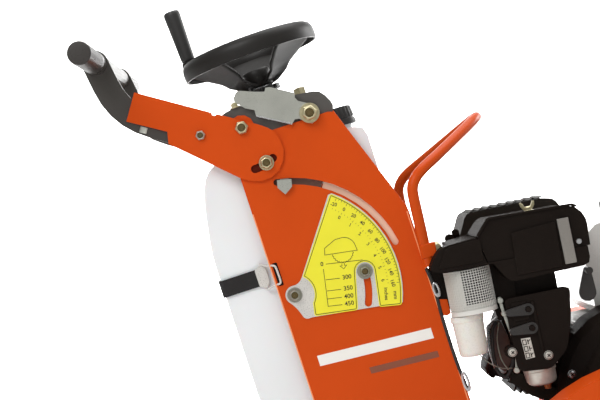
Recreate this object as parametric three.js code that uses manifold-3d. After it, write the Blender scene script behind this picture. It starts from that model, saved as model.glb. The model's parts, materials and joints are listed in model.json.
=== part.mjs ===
// Walk-behind concrete saw, standing on its wheels with the blade raised for transport.
//
// Units are millimetres. +X is the direction of travel, +Z is up, +Y is the operator's left.
// The origin is on the ground, under the middle of the machine.
//
// The chassis has a frame of its own: its origin is the rear axle, x runs forward along the
// deck and z is square to the deck. The console, the depth spindle and the handle have frames
// too, each turned about Y from the one it stands on.

import * as THREE from "three";
import { mergeVertices } from "three/addons/utils/BufferGeometryUtils.js";
import Module from "manifold-3d";

const wasm = await Module();
wasm.setup();

// ---------------------------------------------------------------- driving dimensions

const GAP = 0.3; // between pieces that touch
const CLEAR = 0.4; // round a turning pin

// Attitude: the chassis pitches nose-up about its rear axle while the blade is raised.
const REAR_AXLE = { x: 60, z: 100 };
const CHASSIS_PITCH = 11.5;
const CONSOLE_LEAN = 6.7;
const SPINDLE_LEAN = 20;
const HANDLE_SLOPE = 15;

// Chassis: a deck with two side plates.
const DECK_REAR = -45;
const DECK_FRONT = 640;
const DECK_TOP = 120;
const DECK_THICKNESS = 5;
const SIDE_INNER = 135.3;
const SIDE_OUTER = 139.3;
const SIDE_BOTTOM = -22;

// Wheels and axles.
const REAR_WHEEL = { radius: 100, inner: 155, outer: 205, hub: 60 };
const FRONT_WHEEL = { radius: 75, inner: 152, outer: 192 };
const AXLE_RADIUS = 10;

// Front axle frame: it hinges under the deck and sets the cutting depth.
const FRAME_PIVOT = { x: 81, z: 14.7 };
const FRAME_ARM = 265;
const STUB_RADIUS = 12;
const FRAME_RAISED = 23.6; // degrees below the deck line, blade raised
const DEPTH_SWING = 30.07;
const LEVER_ANGLE = 17.07; // between the arm and the lever to the nut
const LEVER_NEAR = 69.5;
const LEVER_FAR = 73;
const ROD_LEVER = 52;
const ROD_LEVER_ANGLE = 185.8;

// Depth spindle, in its own frame: z runs up the spindle.
const SPINDLE_ORIGIN = { x: -56.5, z: 865 };
const SPINDLE_BOTTOM = -795;
const SPINDLE_RADIUS = 8;
const SHAFT_RADIUS = 6.5;
const NUT_HEIGHT = -775;
const TRUNNION_RADIUS = 6;
const DISC_TOP = -1;
const DISC_RADIUS = 25;
const WHEEL_RADIUS = 102;
const KNOB_REACH = 88;
const LEVER_PIVOT = { x: 119.2, z: 585.1 }; // of the spindle lock, in the console frame

// Console: two side plates, in the console frame (u forward, v up).
const CONSOLE_ORIGIN = { x: 47.7, z: 120 };
const CONSOLE_OUTER = 135;
const CONSOLE_INNER = 131;
const CONSOLE_FRONT_LOW = 206;
const SHOULDER = { u: 200.4, v: 417.3 };
const CONSOLE_TOP = { u: 151.6, v: 579.3 };
const EAR = { u: 23.6, v: 595, radius: 18 };
const SLOT_BOLT = { u: 41.6, v: 537.8 };
const SCALE_PIVOT = { u: 21.3, v: 352 };
const POINTER_TRACK = 158;
const POINTER_REST = 77.1;
const SCALE_RADIUS = 150;
const SCALE_SLOT_RADIUS = 102.5;
const SCALE_BOLT_ANGLE = 0.6;
const TAIL_ANGLE = 20.6;
const ROD_LEAN = 2.72;
const ROD_FOOT = { x: 30.6, z: 30.7 };
const ROD_LENGTH = 454.2;
const TANK_HALF = 118;
const CAP = { u: 153, y: -71, radius: 28, low: 556, high: 583 };

// Handle, in its own frame: the hinge is the origin, a runs forward and b up.
const BAR = { a: -220, b: 33.4 };
const BAR_RADIUS = 16;
const BAR_HALF = 280;
const GRIP_START = 150;
const ARM_WIDTH = 37;

// Lifting bail, in the machine's own frame.
const BAIL_RADIUS = 8;
const BAIL_LUG = { x: 174, z: 632 };

// Blade line and drive, in the chassis frame.
const SHAFT = { x: 456, z: 55, radius: 15 };
const CRANK = { x: 475, z: 254, radius: 12.5 };
const BLADE_RADIUS = 225;
const BLADE_Y = -225;
const GUARD_RADIUS = 247;
const GUARD_OUTER = 262;
const GUARD_INNER = 202;
const BELT_MIDDLE = 218;
const BLADE_PULLEY = 75;
const ENGINE_PULLEY = 58.6;
const CYLINDER_TILT = 25;
const GUARD_HINGE = { x: SHAFT.x, z: SHAFT.z + GUARD_RADIUS + 9.5 };

// Engine fittings, in the chassis frame.
const SCREEN = { x: 266, y: -150, radius: 32.5 };
const CUP = { x: 254, y: -150, radius: 22 };
const FILLER = { x: 530, y: 30, radius: 24 };
const THROTTLE = { x: 424, z: 396, reach: 31, lean: 80 };
const LEVERS = [
  { name: "choke_lever", x: 336, z: 392, turn: 180 },
  { name: "fuel_lever", x: 336, z: 366, turn: 180 },
];

// Guide arm, in the chassis frame.
const GUIDE_PIVOT = { x: 668, z: 62 };
const GUIDE_LENGTH = 430;

const LOOK = {
  orange: { color: 0xc94b14, roughness: 0.38, metalness: 0.05 },
  darkGrey: { color: 0x4a4845, roughness: 0.5, metalness: 0.1 },
  black: { color: 0x17181a, roughness: 0.45, metalness: 0.05 },
  rubber: { color: 0x1c1c1d, roughness: 0.85, metalness: 0 },
  zinc: { color: 0x9a9c96, roughness: 0.38, metalness: 0.85 },
  steel: { color: 0x8b8d8f, roughness: 0.3, metalness: 0.9 },
  aluminium: { color: 0xa7a9aa, roughness: 0.45, metalness: 0.7 },
  milky: { color: 0xeef0ee, roughness: 0.35, metalness: 0 },
  smoky: { color: 0xb9bcb8, roughness: 0.3, metalness: 0 },
  fuelTank: { color: 0xd9d9d4, roughness: 0.35, metalness: 0.05 },
  wheelGrey: { color: 0x85888a, roughness: 0.5, metalness: 0.2 },
  leverGrey: { color: 0x5d5f60, roughness: 0.5, metalness: 0.1 },
};

// ---------------------------------------------------------------- geometry helpers

const rad = THREE.MathUtils.degToRad;
const polar = (radius, degrees, x = 0, z = 0) => [
  x + radius * Math.cos(rad(degrees)),
  z + radius * Math.sin(rad(degrees)),
];

function toSolid(geometry) {
  const bare = geometry.index ? geometry.toNonIndexed() : geometry.clone();
  bare.deleteAttribute("normal");
  bare.deleteAttribute("uv");
  const merged = mergeVertices(bare, 1e-4);
  return new wasm.Manifold(
    new wasm.Mesh({
      numProp: 3,
      vertProperties: merged.attributes.position.array,
      triVerts: new Uint32Array(merged.index.array),
    }),
  );
}

function toGeometry(solid) {
  const mesh = solid.getMesh();
  const geometry = new THREE.BufferGeometry();
  geometry.setAttribute("position", new THREE.BufferAttribute(mesh.vertProperties, 3));
  geometry.setIndex(new THREE.BufferAttribute(mesh.triVerts, 1));
  return geometry;
}

const join = (...pieces) => toGeometry(pieces.map(toSolid).reduce((a, b) => a.add(b)));
const cut = (base, ...tools) =>
  toGeometry(tools.map(toSolid).reduce((a, b) => a.subtract(b), toSolid(base)));

// An outline through [x, z] corners; a third number rounds that corner.
function outline(corners) {
  const shape = new THREE.Path();
  corners.forEach(([x, z, round = 0], i) => {
    const [px, pz] = corners.at(i - 1);
    const [nx, nz] = corners[(i + 1) % corners.length];
    const back = Math.hypot(px - x, pz - z);
    const ahead = Math.hypot(nx - x, nz - z);
    const from = [x + ((px - x) * round) / back, z + ((pz - z) * round) / back];
    const to = [x + ((nx - x) * round) / ahead, z + ((nz - z) * round) / ahead];
    if (i === 0) shape.moveTo(...from);
    else shape.lineTo(...from);
    if (round > 0) shape.quadraticCurveTo(x, z, ...to);
  });
  return new THREE.Shape(shape.getPoints(2));
}

// A flat plate: an outline in x and z, between two heights along y.
function plate(shape, yLow, yHigh, curveSegments = 8) {
  const options = { depth: yHigh - yLow, bevelEnabled: false, curveSegments };
  return new THREE.ExtrudeGeometry(shape, options).rotateX(Math.PI / 2).translate(0, yHigh, 0);
}

const box = (x1, x2, y1, y2, z1, z2) =>
  new THREE.BoxGeometry(x2 - x1, y2 - y1, z2 - z1).translate(
    (x1 + x2) / 2,
    (y1 + y2) / 2,
    (z1 + z2) / 2,
  );

// A round pin along y, and a round post along z.
const pin = ({ x, z }, radius, yLow, yHigh, sides = 12) =>
  new THREE.CylinderGeometry(radius, radius, yHigh - yLow, sides).translate(
    x,
    (yLow + yHigh) / 2,
    z,
  );
const post = (x, y, zLow, zHigh, low, high = low, sides = 12) =>
  new THREE.CylinderGeometry(high, low, zHigh - zLow, sides)
    .rotateX(Math.PI / 2)
    .translate(x, y, (zLow + zHigh) / 2);

// A turned piece about y: [radius, y] points, listed with y rising up the outside.
const turned = (profile, sides = 36) =>
  new THREE.LatheGeometry(
    profile.map(([r, y]) => new THREE.Vector2(r, y)),
    sides,
  );

// A slot along an arc, or a straight slot, as a closed shape with round ends.
function arcSlot(centre, radius, width, from, to) {
  const shape = new THREE.Shape();
  const half = width / 2;
  shape.absarc(centre.x, centre.z, radius + half, rad(from), rad(to), false);
  const [ex, ez] = polar(radius, to, centre.x, centre.z);
  shape.absarc(ex, ez, half, rad(to), rad(to + 180), false);
  shape.absarc(centre.x, centre.z, radius - half, rad(to), rad(from), true);
  const [sx, sz] = polar(radius, from, centre.x, centre.z);
  shape.absarc(sx, sz, half, rad(from + 180), rad(from + 360), false);
  return new THREE.Shape(shape.getPoints(5));
}

function capsule([x1, z1], r1, [x2, z2], r2 = r1, points = 5) {
  const shape = new THREE.Shape();
  const span = Math.hypot(x2 - x1, z2 - z1);
  const along = Math.atan2(z2 - z1, x2 - x1);
  const lean = Math.acos((r1 - r2) / span);
  shape.absarc(x2, z2, r2, along - lean, along + lean, false);
  shape.absarc(x1, z1, r1, along + lean, along - lean + 2 * Math.PI, false);
  return new THREE.Shape(shape.getPoints(points));
}

// A round rod or hose along a curve through points.
function rod(points, radius, sides, steps) {
  const path = new THREE.CatmullRomCurve3(points.map((p) => new THREE.Vector3(...p)));
  const section = new THREE.Shape();
  section.absarc(0, 0, radius, 0, 2 * Math.PI, false);
  return new THREE.ExtrudeGeometry(section, {
    extrudePath: path,
    steps,
    curveSegments: sides,
    bevelEnabled: false,
  });
}

// ---------------------------------------------------------------- frames

const saw = new THREE.Group();

function frame(parent, { x, z }, lean) {
  const group = new THREE.Group();
  group.position.set(x, 0, z);
  group.rotation.y = rad(-lean);
  parent.add(group);
  return group;
}

const chassis = frame(saw, REAR_AXLE, CHASSIS_PITCH);
const consoleFrame = frame(chassis, CONSOLE_ORIGIN, CONSOLE_LEAN);
const axleFrame = frame(chassis, FRAME_PIVOT, -FRAME_RAISED);
const spindleFrame = frame(saw, SPINDLE_ORIGIN, SPINDLE_LEAN);
const rodFrame = frame(chassis, ROD_FOOT, -ROD_LEAN);
const handleHinge = { x: EAR.u, z: EAR.v };
const handleFrame = frame(consoleFrame, handleHinge, -HANDLE_SLOPE - CHASSIS_PITCH - CONSOLE_LEAN);
const cylinderFrame = frame(chassis, CRANK, -CYLINDER_TILT);

function add(parent, name, look, geometry) {
  const mesh = new THREE.Mesh(geometry, new THREE.MeshStandardMaterial(LOOK[look]));
  mesh.name = name;
  parent.add(mesh);
}

const SIDES = [
  ["right", -1],
  ["left", 1],
];
// The y range between two distances from the middle plane, on one side of it.
const range = (side, near, far) => (side < 0 ? [-far, -near] : [near, far]);

// ---------------------------------------------------------------- chassis

function chassisFrame() {
  const side = outline([
    [DECK_REAR, DECK_TOP],
    [DECK_REAR, 12, 10],
    [-24, SIDE_BOTTOM, 10],
    [300, SIDE_BOTTOM],
    [300, 66, 14],
    [372, 66, 14],
    [372, SIDE_BOTTOM],
    [604, SIDE_BOTTOM, 12],
    [DECK_FRONT, 24, 12],
    [DECK_FRONT, DECK_TOP],
  ]);
  const plates = SIDES.map(([, s]) => plate(side, ...range(s, SIDE_INNER, SIDE_OUTER)));
  const under = DECK_TOP - DECK_THICKNESS;
  const deck = box(DECK_REAR, DECK_FRONT, -SIDE_OUTER, SIDE_OUTER, under, DECK_TOP);
  const inside = SIDE_INNER + 1;
  const rearWall = box(DECK_REAR, DECK_REAR + 5, -inside, inside, 30, under + 1);
  const frontWall = box(DECK_FRONT - 5, DECK_FRONT, -inside, inside, 30, under + 1);
  const guideLugs = [-128, -58].map((y) =>
    plate(
      outline([
        [DECK_FRONT - 2, 36],
        [672, 36, 10],
        [690, 62, 12],
        [672, 88, 10],
        [DECK_FRONT - 2, 88],
      ]),
      y,
      y + 10,
    ),
  );
  const wide = SIDE_OUTER + 2;
  const bores = [
    pin({ x: 0, z: 0 }, AXLE_RADIUS + 2 * GAP, -wide, wide),
    pin(FRAME_PIVOT, STUB_RADIUS + CLEAR, -wide, wide, 18),
    pin(SHAFT, 24, -wide, wide, 18),
    pin(GUIDE_PIVOT, 9 + CLEAR, -wide, 0),
    post(136.5, 0, under - 1, DECK_TOP + 1, 15),
    box(24, 46, -131, -118, under - 1, DECK_TOP + 1),
  ];
  return cut(join(...plates, deck, rearWall, frontWall, ...guideLugs), ...bores);
}

const rearTyre = () => {
  const { radius, hub, inner, outer } = REAR_WHEEL;
  const half = (outer - inner) / 2;
  return turned([
    [hub + GAP, -half + 4],
    [radius - 14, -half],
    [radius - 3, -half + 6],
    [radius, 0],
    [radius - 3, half - 6],
    [radius - 14, half],
    [hub + GAP, half - 4],
    [hub + GAP, -half + 4],
  ], 18);
};

// A wheel disc with a thick hub, a thinner web and a rim, bored for its axle.
function wheelDisc(radius, half, hub, bore, sides) {
  return turned(
    [
      [bore, -half],
      [hub, -half],
      [hub + 3, -half / 3],
      [radius - 14, -half / 3],
      [radius - 9, -half + 3],
      [radius, -half + 3],
      [radius, half - 3],
      [radius - 9, half - 3],
      [radius - 14, half / 3],
      [hub + 3, half / 3],
      [hub, half],
      [bore, half],
      [bore, -half],
    ],
    sides,
  );
}

function wheels() {
  const rearMiddle = (REAR_WHEEL.inner + REAR_WHEEL.outer) / 2;
  const rearHalf = (REAR_WHEEL.outer - REAR_WHEEL.inner) / 2;
  const frontMiddle = (FRONT_WHEEL.inner + FRONT_WHEEL.outer) / 2;
  const frontHalf = (FRONT_WHEEL.outer - FRONT_WHEEL.inner) / 2;
  const bore = AXLE_RADIUS + CLEAR;
  for (const [name, s] of SIDES) {
    const rearHub = wheelDisc(REAR_WHEEL.hub, rearHalf, 22, bore, 18);
    add(chassis, `rear_tyre_${name}`, "rubber", rearTyre().translate(0, s * rearMiddle, 0));
    add(chassis, `rear_hub_${name}`, "wheelGrey", rearHub.translate(0, s * rearMiddle, 0));
    const front = wheelDisc(FRONT_WHEEL.radius, frontHalf, 20, bore, 20);
    const placed = front.translate(FRAME_ARM, s * frontMiddle, 0);
    add(axleFrame, `front_wheel_${name}`, "rubber", placed);
  }
}

// Cross tube with stub ends, two arms, the axle, a forked lever for the nut and the rod lever.
function frontAxleFrame() {
  const origin = { x: 0, z: 0 };
  const tube = pin(origin, 18, -134.5, 134.5, 18);
  const stubs = pin(origin, STUB_RADIUS, -146, 146);
  const axle = pin({ x: FRAME_ARM, z: 0 }, AXLE_RADIUS, -200, 200);
  const arms = SIDES.map(([, s]) =>
    plate(capsule([0, 0], 24, [FRAME_ARM, 0], 17), ...range(s, 96, 106)),
  );
  const tie = box(196, 208, -97, 97, -9, 9);
  const middle = (LEVER_NEAR + LEVER_FAR) / 2;
  const eye = polar(middle, LEVER_ANGLE);
  const lugs = SIDES.map(([, s]) => plate(capsule([0, 0], 22, eye, 17), ...range(s, 17, 18)));
  const slotShape = capsule(
    polar(LEVER_NEAR, LEVER_ANGLE),
    TRUNNION_RADIUS + 0.8,
    polar(LEVER_FAR, LEVER_ANGLE),
    TRUNNION_RADIUS + 0.8,
  );
  const slot = plate(slotShape, -30, 30);
  const rodEnd = polar(ROD_LEVER, ROD_LEVER_ANGLE);
  const rodLug = plate(capsule([0, 0], 20, rodEnd, 9), -118, -111);
  const rodPin = pin({ x: rodEnd[0], z: rodEnd[1] }, 4, -130, -112, 16);
  return cut(join(tube, stubs, axle, ...arms, tie, ...lugs, rodLug, rodPin), slot);
}

// ---------------------------------------------------------------- depth spindle

function spindle() {
  const discLow = DISC_TOP - 5;
  const body = turned([
    [0, SPINDLE_BOTTOM],
    [SPINDLE_RADIUS - 1.5, SPINDLE_BOTTOM],
    [SPINDLE_RADIUS, SPINDLE_BOTTOM + 2],
    [SPINDLE_RADIUS, -60],
    [12, -60],
    [12, -53],
    [SHAFT_RADIUS, -53],
    [SHAFT_RADIUS, discLow],
    [DISC_RADIUS, discLow],
    [DISC_RADIUS, DISC_TOP],
    [SHAFT_RADIUS, DISC_TOP],
    [SHAFT_RADIUS, 22],
    [0, 22],
  ], 16).rotateX(Math.PI / 2);
  const notches = Array.from({ length: 8 }, (_, i) => {
    const [x, y] = polar(DISC_RADIUS + 1, i * 45);
    return post(x, y, discLow - 1, DISC_TOP + 1, 4, 4, 8);
  });
  return cut(body, ...notches);
}

function spindleNut() {
  const block = box(-17, 17, -14, 14, -13, 13);
  const trunnions = pin({ x: 0, z: 0 }, TRUNNION_RADIUS, -26, 26);
  const bore = post(0, 0, -14, 14, SPINDLE_RADIUS + CLEAR, SPINDLE_RADIUS + CLEAR, 18);
  return cut(join(block, trunnions), bore).translate(0, 0, NUT_HEIGHT);
}

// Rim of inverted U section, three dished spokes and a hub bored for the shaft.
function handwheel() {
  const rim = turned([
    [WHEEL_RADIUS - 3.5, 43],
    [WHEEL_RADIUS, 43],
    [WHEEL_RADIUS + 0.5, 56],
    [WHEEL_RADIUS - 3, 67],
    [WHEEL_RADIUS - 11, 71],
    [WHEEL_RADIUS - 18, 68],
    [WHEEL_RADIUS - 22, 58],
    [WHEEL_RADIUS - 22, 47],
    [WHEEL_RADIUS - 18.5, 47],
    [WHEEL_RADIUS - 18, 56],
    [WHEEL_RADIUS - 11, 65],
    [WHEEL_RADIUS - 5, 58],
    [WHEEL_RADIUS - 3.5, 43],
  ], 26).rotateX(Math.PI / 2);
  const hub = post(0, 0, 2, 28, 19, 21, 16);
  const arm = outline([
    [12, 4],
    [24, 6],
    [56, 24, 12],
    [82, 49],
    [82, 60],
    [54, 38, 14],
    [22, 24, 6],
    [12, 24],
  ]);
  const spokes = [60, 180, 300].map((turn) => plate(arm, -17, 17).rotateZ(rad(turn)));
  const knobBoss = post(-KNOB_REACH, 0, 60, 74, 11, 10, 20);
  const bore = post(0, 0, 1, 23, SHAFT_RADIUS + GAP, SHAFT_RADIUS + GAP, 20);
  return cut(join(rim, hub, ...spokes, knobBoss), bore);
}

const crankKnob = () =>
  turned([
    [0, 0],
    [9.5, 0],
    [10.5, 3],
    [12.5, 70],
    [11.5, 76],
    [7, 79.5],
    [0, 80],
  ], 18)
    .rotateX(Math.PI / 2)
    .translate(-KNOB_REACH, 0, 74 + GAP);

// A flat link between the axle frame's rear lever and the pointer's tail.
function indicatorRod() {
  const strap = box(-6, 6, -126.6, -122.6, 4, ROD_LENGTH + 7);
  const eye = pin({ x: 0, z: 0 }, 11, -126.6, -122.6, 18);
  const slot = plate(capsule([-1.2, 0], 4.7, [1.2, 0], 4.7), -128, -121);
  const topPin = pin({ x: 0, z: ROD_LENGTH }, 3, -130.6, -123, 14);
  return cut(join(strap, eye, topPin), slot);
}

// ---------------------------------------------------------------- console

const deckLine = (u) => -u * Math.tan(rad(CONSOLE_LEAN)) + GAP;

function consoleSide(s) {
  const edge = [
    [-28, deckLine(-28)],
    [CONSOLE_FRONT_LOW, deckLine(CONSOLE_FRONT_LOW)],
    [SHOULDER.u, SHOULDER.v, 8],
    [CONSOLE_TOP.u, CONSOLE_TOP.v, 8],
    [0, CONSOLE_TOP.v - 0.3],
    [0, 112, 10],
    [-28, 30, 10],
  ];
  const wall = plate(outline(edge), ...range(s, CONSOLE_INNER, CONSOLE_OUTER));
  const ear = pin({ x: EAR.u, z: EAR.v }, EAR.radius, ...range(s, CONSOLE_INNER, CONSOLE_OUTER));
  const foot = outline([
    [52, deckLine(52)],
    [CONSOLE_FRONT_LOW - 2, deckLine(CONSOLE_FRONT_LOW - 2)],
    [CONSOLE_FRONT_LOW - 2, deckLine(CONSOLE_FRONT_LOW - 2) + 4],
    [52, deckLine(52) + 4],
  ]);
  const flange = plate(foot, ...range(s, 106, CONSOLE_INNER + 1));
  const bolts = [
    pin({ x: EAR.u, z: EAR.v }, 5, ...range(s, CONSOLE_INNER + 1, 143)),
    pin({ x: SLOT_BOLT.u, z: SLOT_BOLT.v }, 5, ...range(s, CONSOLE_INNER + 1, 143)),
  ];
  if (s > 0) return join(wall, ear, flange, ...bolts);
  const pivot = { x: SCALE_PIVOT.u, z: SCALE_PIVOT.v };
  const [bu, bv] = polar(SCALE_SLOT_RADIUS, SCALE_BOLT_ANGLE, pivot.x, pivot.z);
  bolts.push(pin(pivot, 5, -143, -126));
  bolts.push(pin({ x: bu, z: bv }, 4, -141, -CONSOLE_INNER));
  const track = plate(arcSlot(pivot, POINTER_TRACK, 9, 9.7, 81), -137, -129);
  const hookSlot = box(4, 9, -137, -129, 381, 400);
  return join(cut(join(wall, ear, flange), track, hookSlot), ...bolts);
}

const consolePanel = () => {
  const lean = (SHOULDER.u - CONSOLE_FRONT_LOW) / SHOULDER.v;
  const face = (v) => CONSOLE_FRONT_LOW - 4 + lean * v;
  const strip = outline([
    [face(10) - 4, 10],
    [face(10), 10],
    [face(372), 372],
    [face(372) - 4, 372],
  ]);
  return plate(strip, -CONSOLE_INNER + GAP, CONSOLE_INNER - GAP);
};

// The cap over the console's top: a channel with a bearing boss and the lever's pin.
function topBracket() {
  const wide = CONSOLE_INNER - GAP;
  const profile = outline([
    [0, 556],
    [140, 556],
    [155.6, 587, 6],
    [143, 612, 10],
    [22, 626.6, 14],
    [-1, 620, 6],
  ]);
  const hollow = outline([
    [-3, 550],
    [170, 550],
    [170, 587],
    [141, 605.5, 4],
    [24, 622.6, 8],
    [-3, 617],
  ]);
  const shell = cut(plate(profile, -wide, wide), plate(hollow, -wide + 3.5, wide - 3.5));
  const boss = post(0, 0, -46, -20, 17, 15, 18);
  const bore = post(0, 0, -50, 0, SHAFT_RADIUS + CLEAR, SHAFT_RADIUS + CLEAR, 20);
  // The spindle frame's place, seen from the console frame.
  saw.updateMatrixWorld(true);
  const inConsole = consoleFrame.matrixWorld.clone().invert().multiply(spindleFrame.matrixWorld);
  boss.applyMatrix4(inConsole);
  bore.applyMatrix4(inConsole);
  const leverPin = pin(LEVER_PIVOT, 5, -147, -wide + 1);
  const leverHead = pin(LEVER_PIVOT, 8.5, -147, -143.8, 6);
  return cut(join(shell, boss, leverPin, leverHead), bore);
}

// The spindle lock: a flat lever with a folded lower edge and a finger under the disc.
function lockLever() {
  const [outer, inner] = [-141.3, -138.8];
  const flat = outline([
    [-100.7, 31, 4],
    [-105.6, 19.9],
    [-103.9, 15.1],
    [-88.9, 6.4],
    [-76.1, 4],
    [-73.8, -4],
    [-23.8, -15.1],
    [-20.3, -8.7],
    [-14.2, -7.9],
    [4.7, -15.9, 5],
    [15.9, 4, 5],
    [1.5, 12.7],
    [-15.9, 16.7],
    [-20.3, 21.4],
    [-20.3, 27.8],
    [-53.9, 35.7],
    [-61, 35],
    [-62.3, 29.4],
    [-76.1, 29.4],
  ]);
  const fold = outline([
    [-73.8, -4],
    [-23.8, -15.1],
    [-23.2, -12.4],
    [-73.2, -1.3],
  ]);
  const finger = box(-76.1, -63, -139, -12, 26.4, 29.4);
  const body = join(plate(flat, outer, inner), plate(fold, outer + 1, -135.4), finger);
  return cut(body, pin({ x: 0, z: 0 }, 5 + CLEAR, -150, -130));
}

function scalePlate() {
  const shape = new THREE.Shape();
  const start = polar(SCALE_RADIUS, -23.9);
  shape.moveTo(...start);
  shape.absarc(0, 0, SCALE_RADIUS, rad(-22), rad(52), false);
  shape.lineTo(87, 117.5);
  shape.lineTo(18.3, 22.5);
  shape.quadraticCurveTo(12, 12.5, 3, 12.8);
  shape.absarc(0, 0, 13, rad(90), rad(215), false);
  shape.quadraticCurveTo(-3, -16, 1, -30);
  shape.quadraticCurveTo(3, -38.5, 12.7, -36.8);
  const face = new THREE.Shape(shape.getPoints(7));
  const slot = arcSlot({ x: 0, z: 0 }, SCALE_SLOT_RADIUS, 10, -24.5, 1.5);
  const hole = pin({ x: 0, z: 0 }, 5 + CLEAR, -140, -130);
  const blank = plate(face, -137.2, -CONSOLE_OUTER - GAP);
  return cut(blank, plate(slot, -140, -130), hole).translate(SCALE_PIVOT.u, 0, SCALE_PIVOT.v);
}

// The pointer outside the wall, its tab through the arc slot, and the arm and tail behind the wall.
function pointerArm() {
  const [inner, outer] = [-127.6, -130.6];
  const arm = plate(capsule([0, 0], 11, polar(POINTER_TRACK, POINTER_REST), 7), outer, inner);
  const tail = plate(capsule([0, 0], 11, polar(28, TAIL_ANGLE), 9), outer, inner);
  const top = POINTER_TRACK + 2.6;
  const head = outline([
    [POINTER_TRACK - 18, 0],
    [POINTER_TRACK - 8, -10],
    [top, -10],
    [top, 10],
    [POINTER_TRACK - 8, 10],
  ]);
  const pointer = plate(head, -142, -140.3);
  const tab = box(POINTER_TRACK - 3, top, -141, -129, -4, 4);
  for (const piece of [pointer, tab]) piece.rotateY(rad(-POINTER_REST));
  const slot = plate(capsule(polar(22.4, TAIL_ANGLE), 4, polar(28.6, TAIL_ANGLE), 4), -132, -126);
  const hole = pin({ x: 0, z: 0 }, 5 + CLEAR, -132, -126);
  const solid = cut(join(arm, tail, tab, pointer), slot, hole);
  return solid.translate(SCALE_PIVOT.u, 0, SCALE_PIVOT.v);
}

// ---------------------------------------------------------------- water tank

function waterTank() {
  const main = plate(
    outline([
      [35, 8, 14],
      [35, 552, 14],
      [-30, 560, 10],
      [-48, 545, 10],
      [-60, 510, 14],
      [-72, 440, 20],
      [-72, 12, 16],
    ]),
    -TANK_HALF,
    TANK_HALF,
  );
  const arm = outline([
    [30, 380],
    [186, 380, 14],
    [188, 548, 16],
    [108, 553, 14],
    [108, 442, 10],
    [30, 442],
  ]);
  const neck = post(CAP.u, CAP.y, 540, CAP.low + 16, 20, 20, 18);
  return join(main, plate(arm, -TANK_HALF, -25), neck);
}

// A screw cap: a skirt with grip flutes over the tank's neck.
function tankCap() {
  const skirt = post(CAP.u, CAP.y, CAP.low, CAP.high, CAP.radius, CAP.radius - 1.5, 32);
  const bore = post(CAP.u, CAP.y, CAP.low - 1, CAP.low + 17, 20.6, 20.6, 18);
  const flutes = Array.from({ length: 10 }, (_, i) => {
    const [x, y] = polar(CAP.radius + 1, i * 36, CAP.u, CAP.y);
    return post(x, y, CAP.low - 1, CAP.high + 1, 3, 3, 6);
  });
  return cut(skirt, bore, ...flutes);
}

function tankStrap() {
  const wide = TANK_HALF + 2.6;
  const loop = box(-75, -8, -wide, wide, 384, 410);
  const inside = box(-72.4, 0, -TANK_HALF - GAP, TANK_HALF + GAP, 380, 414);
  return cut(loop, inside);
}

// ---------------------------------------------------------------- handle

function handleBracket(s) {
  const edge = outline([
    [-156.4, 9],
    [-46, 9.5],
    [-44, 6.5],
    [-40, 6.5],
    [-38, 9.5],
    [20, 10.5],
    [44, 9, 10],
    [66, -12, 14],
    [68, -44, 14],
    [48, -66, 14],
    [20, -68.5, 6],
    [-92, -47.7],
    [-98.1, -31.8],
    [-156.4, -32.9],
  ]);
  const wall = plate(edge, ...range(s, 135.3, 139.3));
  const hinge = pin({ x: 0, z: 0 }, 5 + CLEAR, ...range(s, 130, 145));
  const slot = plate(arcSlot({ x: 0, z: 0 }, 60, 11.4, -57, -29), ...range(s, 130, 145));
  return cut(wall, hinge, slot);
}

// A flat strip of even width that turns one corner, with round ends.
function bentStrip(start, corner, end, width, radius) {
  const a = new THREE.Vector2(...start);
  const c = new THREE.Vector2(...corner);
  const b = new THREE.Vector2(...end);
  const path = new THREE.Path();
  const back = a.clone().sub(c).setLength(radius).add(c);
  const ahead = b.clone().sub(c).setLength(radius).add(c);
  path.moveTo(a.x, a.y);
  path.lineTo(back.x, back.y);
  path.quadraticCurveTo(c.x, c.y, ahead.x, ahead.y);
  path.lineTo(b.x, b.y);
  const line = path.getPoints(5);
  const edge = (sign) =>
    line.map((p, i) => {
      const before = line[Math.max(i - 1, 0)];
      const after = line[Math.min(i + 1, line.length - 1)];
      const normal = after.clone().sub(before).rotateAround(new THREE.Vector2(), Math.PI / 2);
      return p.clone().add(normal.setLength((sign * width) / 2));
    });
  return new THREE.Shape([...edge(1), ...edge(-1).reverse()]);
}

function handleBar() {
  const centre = { x: BAR.a, z: BAR.b };
  const corner = [-166.9, -27.5];
  const end = [-37, -27.5];
  const strip = bentStrip([BAR.a, BAR.b], corner, end, ARM_WIDTH, 46);
  const arms = SIDES.map(([, s]) => plate(strip, ...range(s, 128.7, 134.7)));
  const heads = SIDES.map(([, s]) => pin(centre, ARM_WIDTH / 2, ...range(s, 128.7, 134.7), 18));
  const bar = pin(centre, BAR_RADIUS, -148, 148, 20);
  const core = pin(centre, 13, -BAR_HALF + 4, BAR_HALF - 4);
  return join(...arms, ...heads, bar, core);
}

function grip(s) {
  const sleeve = pin({ x: BAR.a, z: BAR.b }, BAR_RADIUS, ...range(s, GRIP_START, BAR_HALF), 20);
  const bore = pin({ x: BAR.a, z: BAR.b }, 13 + GAP, ...range(s, GRIP_START - 1, BAR_HALF - 3.5));
  return cut(sleeve, bore);
}

// ---------------------------------------------------------------- lifting bail

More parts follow.
